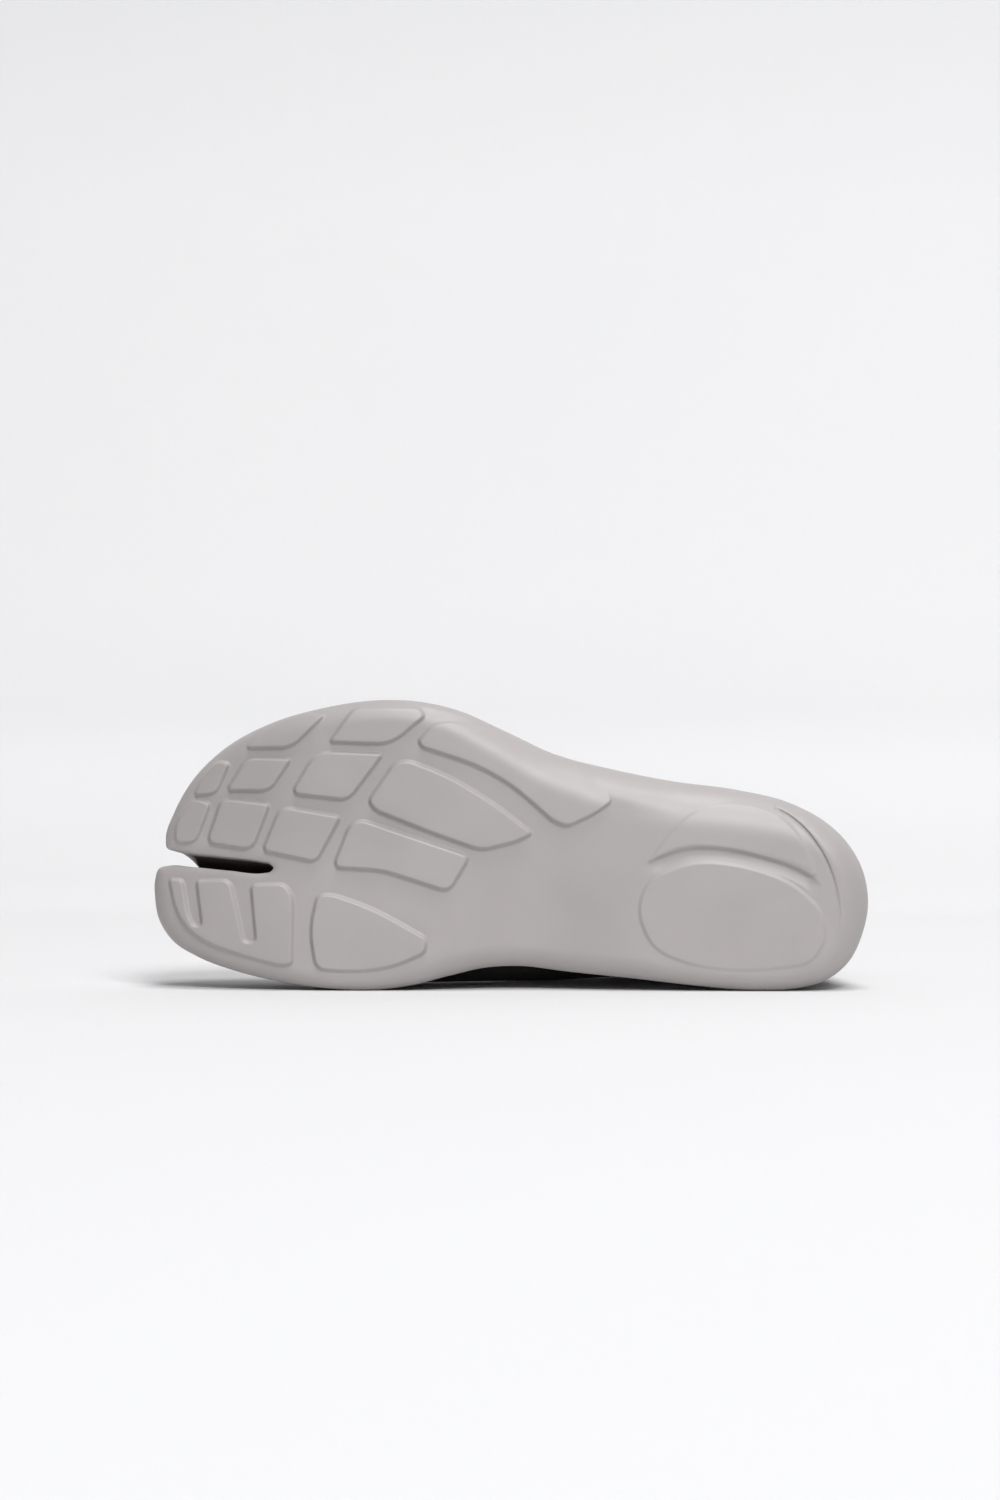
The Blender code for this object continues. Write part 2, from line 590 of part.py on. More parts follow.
place = lying()
sole_rubber = make_material("sole_rubber", (0.42, 0.395, 0.395), 0.55)
upper_knit = make_material("upper_knit", (0.11, 0.103, 0.103), 0.8)
insole_cloth = make_material("insole_cloth", (0.14, 0.132, 0.132), 0.9)
sole = build_sole(place, sole_rubber)
upper = build_upper(place, upper_knit)
insole = build_insole(place, insole_cloth)
set_down([sole, upper, insole])
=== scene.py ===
# Left split-toe high-top shoe lying on its inner side, sole towards the camera.
# Shapes are worked out in the shoe's own frame, in millimetres:
# s forward from the back of the heel, w from inner to outer side, h up from the tread.

import math

import bmesh
import bpy
import numpy as np
from mathutils import Matrix, Vector
from mathutils.geometry import delaunay_2d_cdt


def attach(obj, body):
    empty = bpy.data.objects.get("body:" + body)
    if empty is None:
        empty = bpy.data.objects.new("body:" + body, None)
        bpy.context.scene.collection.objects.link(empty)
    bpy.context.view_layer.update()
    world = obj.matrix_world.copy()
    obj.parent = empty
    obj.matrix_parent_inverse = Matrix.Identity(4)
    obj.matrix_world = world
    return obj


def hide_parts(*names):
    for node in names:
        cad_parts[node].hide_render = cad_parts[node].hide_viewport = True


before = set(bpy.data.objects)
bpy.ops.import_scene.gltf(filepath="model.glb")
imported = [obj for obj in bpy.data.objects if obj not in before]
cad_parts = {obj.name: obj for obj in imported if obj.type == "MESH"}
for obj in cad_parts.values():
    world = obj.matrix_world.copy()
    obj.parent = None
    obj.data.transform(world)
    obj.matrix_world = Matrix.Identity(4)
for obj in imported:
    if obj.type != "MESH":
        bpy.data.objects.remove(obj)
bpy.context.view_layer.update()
print("frame loaded:", ", ".join(sorted(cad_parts)))

# how the shoe lies, the same as in the solids
lying = {
    "leanDeg": 4.78,  # tread leans back from upright
    "rollDeg": -0.11,
    "shift": (0.137668, -0.067885, 0.000052),
}

soleSizes = {
    "rimWall": 2.2, "rimRound": 0.9, "rimBevel": 0.3,
    "wallLean": 0.09,
    "slitLean": 0.19, "slitMore": 0.085,  # lean of the slit's walls, and how much more halfway along it
    "slitMiddle": (232.0, 8.0, 264.0, 8.0),  # start, over, end, out, as between takes them
    "slitEdge": 3.0, "slitEase": 0.8,  # the outline belongs to the slit where its rounding is narrower
    "closeEdge": 2.0,  # closer points where the rounding is narrower than this
    "dropShare": 0.85, "dropLeast": 1.1, "dropMost": 17.0,  # height of the rounding for its width
    "baseDepth": 1.4,  # tread base lies this far above the crests of the solid's pads
    "toeSpring": 11.0, "springFrom": 200.0, "toeTip": 275.0,
    "archRise": 4.0, "archFrom": 90.0, "archTo": 168.0,
    "archOuter": 0.25, "archSide": 70.0, "archAcross": 55.0,  # share of the rise at the outer side
    "rockerRise": 4.0, "rockerFrom": 14.0,
    "outlineStep": 0.8, "padStep": 0.8, "fillStep": 1.6, "cupStep": 6.0, "edgeRings": 9,
    "wallFrom": 48.0,  # degrees round the edge where the wall takes over from the tread
    "heelFill": 0.7, "fillFrom": 106.0, "fillOver": 24.0,  # fuller heel, so that its pads stand low
    "heelPart": 130.0,  # channel, lip and swell lie behind this
    "padFoot": 0.75, "padCrest": 0.95,  # a pad's flank reaches this far out and in from its edge
    "reliefFade": 1.5,  # power by which pads and relief fade round the edge
    "slitShadeOver": 1.2,  # painted shade on the slit's walls starts over this height
    "forefootShadeFrom": (150.0, 44.0), "forefootShadeOver": (30.0, 22.0), "forefootShadeDepth": (9.0, 4.0),  # painted shade on the outer forefoot: s and w, then h
}

# plan outline: s, w, width of the rounding under the edge
outlineRows = [
    (228.2, 47.5, 1.3), (229.3, 46.1, 1.3), (231.8, 45.6, 1.3), (245.0, 46.6, 1.3), (260.0, 48.2, 1.6),
    (269.0, 48.9, 2.4), (273.4, 47.8, 3.0), (275.0, 43.5, 4.0), (275.2, 37.0, 6.0), (273.6, 28.5, 6.5),
    (268.0, 20.0, 7.0), (258.0, 13.8, 7.0), (242.0, 8.0, 6.5), (222.0, 3.5, 6.0), (205.0, 1.3, 5.0),
    (190.0, 0.9, 5.5), (175.0, 2.8, 6.5), (160.0, 6.6, 8.0), (147.0, 9.5, 8.0), (134.0, 10.1, 8.0),
    (116.0, 8.0, 8.0), (90.0, 5.2, 8.0), (66.0, 2.4, 6.0), (42.0, 0.6, 6.0), (28.0, 1.5, 6.5),
    (17.0, 4.6, 7.5), (8.0, 11.6, 10.5), (2.4, 22.5, 11.0), (0.0, 34.5, 11.0), (1.8, 46.0, 11.0),
    (7.0, 56.0, 12.0), (16.0, 65.2, 14.0), (30.0, 73.0, 17.0), (50.0, 78.1, 19.0), (75.0, 81.6, 20.0),
    (100.0, 86.6, 19.0), (120.0, 91.8, 16.0), (140.0, 100.9, 13.0), (158.0, 108.7, 11.0),
    (174.0, 112.1, 10.0), (190.0, 112.4, 9.5), (210.0, 109.4, 9.0), (230.0, 103.6, 8.0),
    (248.0, 94.0, 7.0), (260.0, 82.5, 6.0), (267.5, 69.8, 5.0), (270.9, 59.5, 4.5), (270.2, 55.6, 3.0),
    (266.0, 54.3, 2.75), (250.0, 52.1, 1.5), (232.9, 49.9, 1.3), (229.5, 49.1, 1.3),
]
bigToeRow, heelRow, toesRow = 8, 28, 46
bluntCorners = {  # rows of the outline that the upper and the insole change at the slit's mouth
    5: (265.5, 48.6), 6: (272.1, 45.9), 7: (274.7, 41.5),
    46: (269.9, 63.0), 47: (268.2, 57.4), 48: (262.5, 53.8),
}

# along the length: s, floor of the cup, top of its rim
heightRows = [(0.0, 16.0, 31.0), (40.0, 15.0, 29.0), (90.0, 15.0, 28.5), (140.0, 13.0, 26.0),
              (190.0, 10.0, 23.0), (230.0, 11.8, 24.5), (275.0, 20.0, 33.0)]

# tread pads: height, then corners s, w, radius
treadPads = {
    "outerFront": (1.9, [
        (239.2, 93.4, 2.4), (220.8, 93.4, 5), (208.6, 106.0, 1.6), (218.0, 107.5, 4),
        (232.1, 101.4, 4),
    ]),
    "outerBall": (1.9, [
        (206.9, 95.5, 2), (182.9, 94.6, 6), (169.9, 105.5, 2), (172.5, 109.3, 2), (196.9, 109.5, 3),
    ]),
    "outerLong": (1.9, [
        (172.7, 95.9, 2), (167.3, 102.3, 5), (160.2, 103.7, 5), (146.1, 100.7, 9), (136.1, 98.7, 6),
        (127.1, 97.7, 6), (111.1, 92.7, 6), (102.1, 85.7, 8), (98.0, 72.7, 2.5), (104.9, 67.8, 5),
        (115.4, 62.9, 5), (120.9, 64.9, 5), (136.2, 78.5, 9), (150.0, 86.5, 9), (171.3, 93.5, 3),
    ]),
    "toeOuter": (1.8, [
        (245.2, 87.9, 2.2), (250.3, 76.1, 3), (259.4, 75.5, 2.2), (256.2, 83.2, 4), (250.7, 89.1, 3),
    ]),
    "secondRowFront": (1.9, [
        (238.6, 89.9, 4), (221.1, 89.2, 2.2), (229.4, 76.9, 4), (246.7, 77.2, 3),
    ]),
    "secondRowMiddle": (1.9, [
        (211.9, 92.1, 7), (185.8, 91.0, 2.4), (199.2, 73.1, 4), (221.5, 75.7, 4),
    ]),
    "secondRowLong": (1.9, [
        (182.0, 87.4, 4), (176.3, 88.5, 5), (160.7, 82.4, 9), (143.5, 72.0, 9), (128.6, 60.4, 2.4),
        (134.8, 57.2, 4), (148.3, 53.9, 4), (168.3, 60.9, 9), (189.2, 69.4, 3), (191.8, 72.9, 3),
    ]),
    "toeTip": (1.8, [
        (259.1, 74.5, 2.4), (252.4, 72.5, 2.4), (258.3, 57.3, 3.5), (266.8, 57.3, 3), (266.6, 66.0, 4),
    ]),
    "thirdRowFront": (1.9, [
        (248.4, 74.3, 4), (229.4, 71.9, 2.2), (236.1, 54.2, 4.5), (254.3, 57.2, 4),
    ]),
    "thirdRowMiddle": (1.9, [
        (225.5, 71.0, 5), (202.1, 66.9, 2.2), (211.4, 49.4, 3.5), (232.5, 54.0, 3),
    ]),
    "thirdRowLong": (1.9, [
        (197.8, 67.0, 7), (176.8, 59.7, 9), (152.6, 51.6, 3.2), (160.7, 38.0, 4), (177.2, 43.4, 9),
        (186.6, 46.3, 9), (205.3, 47.4, 4),
    ]),
    "bigToe": (1.9, [
        (269.1, 43.8, 2), (263.4, 43.3, 2), (261.2, 30.4, 6), (259.0, 25.5, 2), (255.8, 25.7, 2),
        (258.2, 42.9, 2), (244.8, 43.2, 4), (242.2, 32.9, 8), (239.2, 19.1, 2), (234.7, 19.3, 2),
        (236.9, 41.3, 3), (223.6, 41.5, 5), (220.3, 36.4, 5), (220.5, 10.4, 3), (225.0, 10.0, 4),
        (238.8, 13.5, 9), (252.7, 18.3, 9), (261.2, 23.7, 6), (266.3, 31.4, 6),
    ]),
    "bigToeBall": (1.9, [
        (211.2, 37.0, 5), (205.3, 37.4, 5), (189.6, 31.9, 9), (169.0, 20.4, 3.5), (169.6, 14.9, 4),
        (183.0, 9.0, 9), (197.7, 7.4, 9), (211.6, 8.7, 4), (214.1, 23.6, 9),
    ]),
    "heelCrescent": (0.6, [
        (84.9, 49.2, 1.5), (76.2, 61.3, 9), (66.7, 69.6, 9), (54.1, 72.9, 9), (41.4, 71.3, 8),
        (32.0, 65.9, 8), (24.4, 55.3, 7), (20.8, 44.3, 1.5), (23.4, 43.6, 1.5), (35.0, 49.2, 9),
        (51.0, 54.1, 9), (63.6, 55.6, 9), (73.8, 54.8, 7),
    ]),
    "heelOval": (0.7, [
        (89.4, 30.7, 9), (85.1, 43.2, 9), (66.9, 50.2, 9), (47.5, 48.0, 9), (29.9, 41.6, 9),
        (18.5, 30.7, 9), (16.9, 20.1, 9), (23.3, 10.2, 9), (47.0, 7.6, 9), (67.8, 9.6, 9),
        (83.7, 16.2, 9),
    ]),
}

# where pads run out into the sole: s, w, radius, share of the height that is lost
padFades = [
    (48.0, -6.0, 46.0, 0.75), (195.0, -4.0, 30.0, 0.6), (240.0, 0.0, 26.0, 0.5), (99.0, 84.0, 13.0, 0.9),
]

heelGroove = {  # channel between the two heel pads
    "path": [(86.7, 45.7), (80.7, 48.5), (70.8, 51.8), (61.0, 52.4), (51.1, 51.2), (41.2, 49.0),
             (31.3, 46.0), (23.9, 41.8), (19.5, 36.2)],
    "depth": 1.6, "halfWidth": 3.1, "flank": 2.0, "ends": (0.0, 0.14, 1.0, 0.16),
    "level": 0.65, "slope": 0.35,  # deepest at its upper side
    "offsets": (-3.2, -2.6, -2.0, -1.4, 0.0, 1.4, 2.0, 2.6, 3.2),
}
heelCrease = {  # inner edge of the raised lip round the heel, with a fine cut along it
    "path": [(36.6, 70.4), (31.2, 67.6), (26.2, 63.4), (21.2, 57.2), (17.1, 50.0), (14.2, 42.0),
             (12.4, 32.5), (12.2, 24.5), (13.4, 18.5), (15.7, 13.0)],
    "lip": 0.5, "fade": 8.0, "step": 0.3, "ends": (0.0, 0.05, 1.0, 0.4),
    "cut": 1.9, "cutWidth": 0.75, "cutStart": 0.02, "cutFade": 1.3,
    "offsets": (-0.85, -0.5, -0.25, 0.0, 0.25, 0.5, 0.9, 1.5, 2.2),
}
waistRidge = {  # soft swell along the outer waist
    "path": [(118.0, 83.0), (110.0, 80.4), (102.0, 78.4), (94.0, 76.8), (86.0, 75.4), (78.0, 74.4),
             (70.0, 73.8), (62.0, 73.6)],
    "height": 1.3, "halfWidth": 8.5, "ends": (0.0, 0.2, 1.0, 0.6),
}


def smoothStep(x):
    x = np.clip(x, 0.0, 1.0)
    return x * x * (3.0 - 2.0 * x)


def between(x, start, over, end, out):  # one from start to end, easing in and out
    return smoothStep((x - start) / over) * smoothStep((end - x) / out)


def curveThrough(rows, step, closed):  # smooth curve through the rows, further columns run along
    p = np.array(rows, float)
    n = len(p)
    before, after = np.roll(p, 1, axis=0), np.roll(p, -1, axis=0)
    if not closed:
        before[0], after[-1] = 2 * p[0] - p[1], 2 * p[-1] - p[-2]
    back = np.linalg.norm((p - before)[:, :2], axis=1)[:, None]
    ahead = np.linalg.norm((after - p)[:, :2], axis=1)[:, None]
    slope = ((p - before) / back * ahead + (after - p) / ahead * back) / (back + ahead)
    out, marks = [], []
    for i in range(n if closed else n - 1):
        j = (i + 1) % n
        length = float(ahead[i, 0])
        count = max(1, round(length / step))
        marks.append(len(out))
        for t in np.arange(count) / count:
            a, b = 2 * t ** 3 - 3 * t ** 2 + 1, t ** 3 - 2 * t ** 2 + t
            c, d = -2 * t ** 3 + 3 * t ** 2, t ** 3 - t ** 2
            out.append(a * p[i] + b * length * slope[i] + c * p[j] + d * length * slope[j])
    if not closed:
        out.append(p[-1])
    return np.array(out), marks


def innerRows():
    rows = list(outlineRows)
    for row, (s, w) in bluntCorners.items():
        rows[row] = (s, w, outlineRows[row][2])
    return rows


def inwardNormals(loop):
    run = np.roll(loop[:, :2], -1, axis=0) - np.roll(loop[:, :2], 1, axis=0)
    run /= np.maximum(np.linalg.norm(run, axis=1)[:, None], 1e-9)
    return np.stack([run[:, 1], -run[:, 0]], axis=1)


def roundedPolygon(corners, step):
    c = np.array(corners, float)
    sides = np.linalg.norm(np.roll(c, -1, axis=0)[:, :2] - c[:, :2], axis=1)
    cuts = np.minimum(c[:, 2], 0.48 * np.minimum(sides, np.roll(sides, 1)))
    out = []
    for i in range(len(c)):
        p, q, r = c[i - 1, :2], c[i, :2], c[(i + 1) % len(c), :2]
        toP, toR, cut = sides[i - 1], sides[i], cuts[i]
        a, b = q + (p - q) / toP * cut, q + (r - q) / toR * cut
        count = max(2, round(2.2 * cut / step))
        for t in np.linspace(0, 1, count + 1):
            out.append((1 - t) ** 2 * a + 2 * t * (1 - t) * q + t * t * b)
        room = toR - cut - cuts[(i + 1) % len(c)]
        for t in np.arange(1, round(room / step)) / max(1, round(room / step)):
            out.append(b + (r - q) / toR * room * t)
    return np.array(out)


def treadBase(s, w):
    z = soleSizes
    ahead = np.clip(s - z["springFrom"], 0, None) / (z["toeTip"] - z["springFrom"])
    spring = z["toeSpring"] * ahead ** 2
    along = np.clip((s - z["archFrom"]) / (z["archTo"] - z["archFrom"]), 0, 1)
    across = z["archOuter"] + (1 - z["archOuter"]) * smoothStep((z["archSide"] - w) / z["archAcross"])
    arch = z["archRise"] * np.sin(math.pi * along) ** 2 * across
    rocker = z["rockerRise"] * (np.clip(z["rockerFrom"] - s, 0, None) / z["rockerFrom"]) ** 2
    return z["baseDepth"] + spring + arch + rocker


def heightAt(s, column):
    table = np.array(heightRows)
    return np.interp(s, table[:, 0], table[:, column])


def makeLoop(points):  # the outline with what is needed to stand walls on it
    z = soleSizes
    s, w, edge = points.T
    skew = np.clip((z["slitEdge"] - edge) / z["slitEase"], 0, 1)  # one along the slit
    drop = np.clip(z["dropShare"] * edge, z["dropLeast"], z["dropMost"])
    low = treadBase(s, w) + drop
    lean = z["wallLean"] * (1 - skew)
    rim = heightAt(s, 2)
    return {
        "s": s, "w": w, "edge": edge, "normal": inwardNormals(points), "skew": skew, "drop": drop,
        "low": low, "rim": rim, "floor": heightAt(s, 1), "lean": lean,
        "cup": lean * (rim - low) + z["rimWall"],
    }


def loopAt(loop, inset, h, pick=slice(None)):
    h = np.broadcast_to(h, loop["s"].shape)[pick]
    inset = np.broadcast_to(inset, loop["s"].shape)[pick]
    s = loop["s"][pick] + loop["normal"][pick, 0] * inset
    more = soleSizes["slitMore"] * between(loop["s"][pick], *soleSizes["slitMiddle"])
    lean = (soleSizes["slitLean"] + more) * loop["skew"][pick] * np.clip(h - loop["low"][pick], 0, None)
    w = loop["w"][pick] + loop["normal"][pick, 1] * inset - lean
    return np.stack([s, w, np.array(h, float)], axis=1)


def insideLoop(points, loop):
    out = []
    ax, ay = loop[:, 0], loop[:, 1]
    bx, by = np.roll(ax, -1), np.roll(ay, -1)
    for block in np.array_split(points, max(1, len(points) // 3000)):
        x, y = block[:, 0][:, None], block[:, 1][:, None]
        crosses = (ay > y) != (by > y)
        at = ax + (y - ay) / np.where(by == ay, 1e-9, by - ay) * (bx - ax)
        out.append((np.sum(crosses & (x < at), axis=1) % 2).astype(bool))
    return np.concatenate(out)


def lineDistance(points, line, closed):  # distance to a polyline, side of it, place along it from 0 to 1
    a = line if closed else line[:-1]
    b = np.roll(line, -1, axis=0) if closed else line[1:]
    d = b - a
    length = np.maximum((d ** 2).sum(axis=1), 1e-12)
    far, sides, places = [], [], []
    for block in np.array_split(points, max(1, len(points) // 2000)):
        t = np.clip(((block[:, None] - a) * d).sum(axis=2) / length, 0, 1)
        gap = block[:, None] - (a + d * t[..., None])
        dist = (gap ** 2).sum(axis=2)
        k = dist.argmin(axis=1)
        row = np.arange(len(block))
        far.append(np.sqrt(dist[row, k]))
        sides.append(np.sign(d[k, 0] * gap[row, k, 1] - d[k, 1] * gap[row, k, 0]))
        places.append((k + t[row, k]) / len(a))
    return np.concatenate(far), np.concatenate(sides), np.concatenate(places)


def pathDistance(points, path, step):
    return lineDistance(points, curveThrough(path, step, False)[0], False)


def thinned(points, gap):  # drops points that stand closer than the gap to one already kept
    kept, cells = [], {}
    for x, y in points.tolist():
        column, row = int(x // gap), int(y // gap)
        near = [q for a in (-1, 0, 1) for b in (-1, 0, 1) for q in cells.get((column + a, row + b), ())]
        if all((x - q[0]) ** 2 + (y - q[1]) ** 2 > gap * gap for q in near):
            cells.setdefault((column, row), []).append((x, y))
            kept.append((x, y))
    return np.array(kept)


noPoints = np.zeros((0, 2))
fillGaps = {"rim": 0.35, "extra": 0.24, "row": 0.87, "grid": 0.55, "same": 1e-5}


def fillLoop(rim, extra, step):  # triangles inside a loop, through the extra points
    rim = rim[:, :2]
    extra = extra[insideLoop(extra, rim)] if len(extra) else noPoints
    if len(extra):
        extra = extra[lineDistance(extra, rim, True)[0] > fillGaps["rim"]]
        extra = thinned(extra, fillGaps["extra"])
    low, high = rim.min(axis=0), rim.max(axis=0)
    grid = []
    for k, y in enumerate(np.arange(low[1], high[1], step * fillGaps["row"])):
        grid.extend((x + step * 0.5 * (k % 2), y) for x in np.arange(low[0], high[0], step))
    grid = np.array(grid)
    grid = grid[insideLoop(grid, rim)]
    known = np.concatenate([rim, extra])
    grid = grid[nearest(grid, known) > fillGaps["grid"] * step]
    flat = [Vector(p) for p in np.concatenate([known, grid])]
    vertices, _, faces, _, _, _ = delaunay_2d_cdt(flat, [], [list(range(len(rim)))], 1, fillGaps["same"])
    return np.array([tuple(v) for v in vertices]), faces


def fillRing(points, faces, ring, extra, step, heights, turn):  # closes a ring, new points at the heights
    rim = np.array(points)[ring]
    vertices, triangles = fillLoop(rim, extra, step)
    inner = vertices[len(rim):]
    index = ring + list(range(len(points), len(points) + len(inner)))
    points.extend(np.column_stack([inner, heights(inner)]).tolist())
    faces.extend(tuple(index[k] for k in (t[::-1] if turn else t)) for t in triangles)


def cupFloor(flat):
    return heightAt(flat[:, 0], 1)


def nearest(points, others):  # distance to the nearest of the others, 9 where none is near
    best = []
    for block in np.array_split(points, max(1, len(points) // 600)):
        near = others[(others[:, 1] > block[:, 1].min() - 8) & (others[:, 1] < block[:, 1].max() + 8)]
        if not len(near):
            best.append(np.full(len(block), 9.0))
            continue
        gap = (block[:, None, 0] - near[None, :, 0]) ** 2 + (block[:, None, 1] - near[None, :, 1]) ** 2
        best.append(np.sqrt(gap.min(axis=1)))
    return np.concatenate(best)


axesTurn = Matrix(((-1, 0, 0, 0), (0, 0, 1, 0), (0, 1, 0, 0), (0, 0, 0, 1)))
lean = Matrix.Rotation(math.radians(-lying["leanDeg"]), 4, "X")
roll = Matrix.Rotation(math.radians(lying["rollDeg"]), 4, "Y")
toWorld = Matrix.Translation(lying["shift"]) @ lean @ roll @ axesTurn


def worldPoints(points):
    turn = np.array(toWorld.to_3x3())
    return np.array(points) * 0.001 @ turn.T + np.array(toWorld.translation)


def strip(faces, a, b, closed=True):
    for i in range(len(a) if closed else len(a) - 1):
        j = (i + 1) % len(a)
        faces.append((a[i], a[j], b[j], b[i]))


def putInScene(name, data):
    made = bpy.data.objects.new(name, data)
    bpy.context.scene.collection.objects.link(made)
    return made


def makePiece(name, points, faces, weld=0.000002, stitches=None, marks=None):
    mesh = bpy.data.meshes.new(name)
    mesh.from_pydata(worldPoints(points).tolist(), [], faces)
    if stitches is not None:  # millimetres round and up the knit, for each corner of each face
        layer = mesh.uv_layers.new(name="stitches")
        layer.data.foreach_set("uv", np.array(stitches, np.float32).ravel())
    for label, values in (marks or {}).items():  # point values that the finishes read
        mark = mesh.attributes.new(label, "FLOAT", "POINT")
        mark.data.foreach_set("value", np.array(values, np.float32))
    bm = bmesh.new()
    bm.from_mesh(mesh)
    bmesh.ops.remove_doubles(bm, verts=bm.verts, dist=weld)
    bmesh.ops.recalc_face_normals(bm, faces=bm.faces)
    bm.to_mesh(mesh)
    bm.free()
    mesh.polygons.foreach_set("use_smooth", [True] * len(mesh.polygons))
    piece = putInScene(name, mesh)
    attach(piece, "root")
    return piece


# sole: pads, heel channel and heel lip as heights over the tread

def padEdges():
    edges = {}
    for name, (height, corners) in treadPads.items():
        edge = roundedPolygon(corners, soleSizes["padStep"])
        turn = np.roll(edge, -1, axis=0)
        area = np.sum(edge[:, 0] * turn[:, 1] - turn[:, 0] * edge[:, 1])
        edges[name] = (height, edge, inwardNormals(edge) * (-1.0 if area > 0 else 1.0))
    return edges


def padLift(points, edges):
    lift = np.zeros(len(points))
    foot, crest = soleSizes["padFoot"], soleSizes["padCrest"]
    for height, edge, _ in edges.values():
        low, high = edge.min(axis=0) - 2, edge.max(axis=0) + 2
        close = np.flatnonzero(((points > low) & (points < high)).all(axis=1))
        if not len(close):
            continue
        dist = lineDistance(points[close], edge, True)[0]
        dist = np.where(insideLoop(points[close], edge), dist, -dist)
        lift[close] = np.maximum(lift[close], height * smoothStep((dist + foot) / (foot + crest)))
    for s, w, radius, share in padFades:
        lift *= 1 - share * smoothStep(1 - np.hypot(points[:, 0] - s, points[:, 1] - w) / radius)
    r = waistRidge
    near = np.flatnonzero(points[:, 0] < soleSizes["heelPart"])
    if len(near):
        dist, _, place = pathDistance(points[near], r["path"], 2.0)
        swell = r["height"] * smoothStep(1 - dist / r["halfWidth"]) * between(place, *r["ends"])
        lift[near] = np.maximum(lift[near], swell)
    return lift


def edgeRise(points, loop):  # how far the rounding lifts the tread near its edge, and how flat it is there
    line = np.column_stack([loop["s"], loop["w"]])
    dist, _, place = lineDistance(points, line, True)
    ring = np.arange(len(line) + 1)
    edge = np.interp(place * len(line), ring, np.append(loop["edge"], loop["edge"][0]))
    drop = np.interp(place * len(line), ring, np.append(loop["drop"], loop["drop"][0]))
    flat = np.sqrt(1 - np.clip(1 - dist / edge, 0, 1) ** 2)
    return drop * (1 - flat), flat


def softRelief(points):  # fuller heel, channel and lip, as heights away from the ground
    z, g, c = soleSizes, heelGroove, heelCrease
    relief = -z["heelFill"] * smoothStep((z["fillFrom"] - points[:, 0]) / z["fillOver"])
    near = points[:, 0] < z["heelPart"]
    some = points[near]
    if not len(some):
        return relief
    dist, side, place = pathDistance(some, g["path"], 1.0)
    slope = g["level"] - g["slope"] * np.clip(side * dist / g["halfWidth"], -1, 1)
    flank = smoothStep((g["halfWidth"] - dist) / g["flank"])
    change = g["depth"] * slope * flank * between(place, *g["ends"])
    dist, side, place = pathDistance(some, c["path"], 1.0)
    outer = np.where(side < 0, -dist, dist)
    lip = smoothStep(outer / c["step"]) * np.exp(-np.clip(outer, 0, None) / c["fade"])
    change -= c["lip"] * lip * between(place, *c["ends"])
    cut = smoothStep(1 - np.abs(outer) / c["cutWidth"]) * smoothStep(place / c["cutStart"])
    change += c["cut"] * cut * (1 - place) ** c["cutFade"]
    relief[near] += change
    return relief


def relief(points, edges):  # all that stands out from the tread or is sunk in it
    return softRelief(points) - padLift(points, edges)


def treadPoints(edges):  # points that the pads' flanks, channel and lip need
    out = []
    for _, edge, normal in edges.values():
        for inset in (-1.25, -0.9, -0.55, -0.2, 0.15, 0.5, 0.85, 1.2):
            out.append(edge + normal * inset)
    for form in (heelGroove, heelCrease):
        line = curveThrough(form["path"], 0.8, False)[0]
        run = np.gradient(line, axis=0)
        run /= np.linalg.norm(run, axis=1)[:, None]
        side = np.stack([-run[:, 1], run[:, 0]], axis=1)
        for offset in form["offsets"]:
            out.append(line + side * offset)
    return np.concatenate(out)


def makeSole():
    z = soleSizes
    line = curveThrough(outlineRows, z["outlineStep"] / 2, True)[0]
    loop = makeLoop(line[(np.arange(len(line)) % 2 == 0) | (line[:, 2] < z["closeEdge"])])
    edges = padEdges()
    points, faces, rings = [], [], []
    slitShade = []  # painted shade: one on the slit's walls, which lie in shade

    def addRing(inset, h):
        ring = loopAt(loop, inset, h)
        rings.append(list(range(len(points), len(points) + len(ring))))
        points.extend(ring.tolist())
        slitShade.extend((loop["skew"] * smoothStep((ring[:, 2] - loop["low"]) / z["slitShadeOver"])).tolist())

    for angle in np.radians(np.linspace(z["wallFrom"], 90, z["edgeRings"])):
        inset = loop["edge"] * (1 - math.sin(angle))
        flat = loopAt(loop, inset, 0.0)[:, :2]
        h = treadBase(flat[:, 0], flat[:, 1]) + loop["drop"] * (1 - math.cos(angle))
        addRing(inset, h + relief(flat, edges) * math.cos(angle) ** z["reliefFade"])
    low = np.array(points)[rings[-1], 2]
    top = loop["rim"] - z["rimRound"]
    for share in np.linspace(0, 1, z["edgeRings"])[1:]:
        h = low + (top - low) * share
        addRing(loop["lean"] * (h - loop["low"]), h)
    outerInset = loop["cup"] - z["rimWall"]
    for angle in np.radians((22, 45, 68, 90)):  # rounded outer edge of the rim
        addRing(outerInset + z["rimRound"] * (1 - math.cos(angle)), top + z["rimRound"] * math.sin(angle))
    addRing(loop["cup"] - z["rimBevel"], loop["rim"])
    for h in (loop["rim"] - z["rimBevel"], (loop["rim"] + loop["floor"]) / 2, loop["floor"]):
        addRing(loop["cup"], h)
    for a, b in zip(rings, rings[1:]):
        strip(faces, a, b)

    def treadHeight(flat):
        rise, level = edgeRise(flat, loop)
        return treadBase(flat[:, 0], flat[:, 1]) + rise + relief(flat, edges) * level ** z["reliefFade"]

    fillRing(points, faces, rings[0], treadPoints(edges), z["fillStep"], treadHeight, False)
    fillRing(points, faces, rings[-1], noPoints, z["cupStep"], cupFloor, True)
    slitShade.extend([0.0] * (len(points) - len(slitShade)))
    s, w, h = np.array(points).T
    forefootShade = smoothStep((z["forefootShadeDepth"][0] - h) / z["forefootShadeDepth"][1])  # painted shade: one on the outer forefoot's tread
    for place, start, over in zip((s, w), z["forefootShadeFrom"], z["forefootShadeOver"]):
        forefootShade *= smoothStep((place - start) / over)
    return makePiece("moulded_sole", points, faces, marks={"slitShade": slitShade, "forefootShade": forefootShade})


# upper: one knitted shell lofted on spokes from the sole's edge to the ridge or the collar

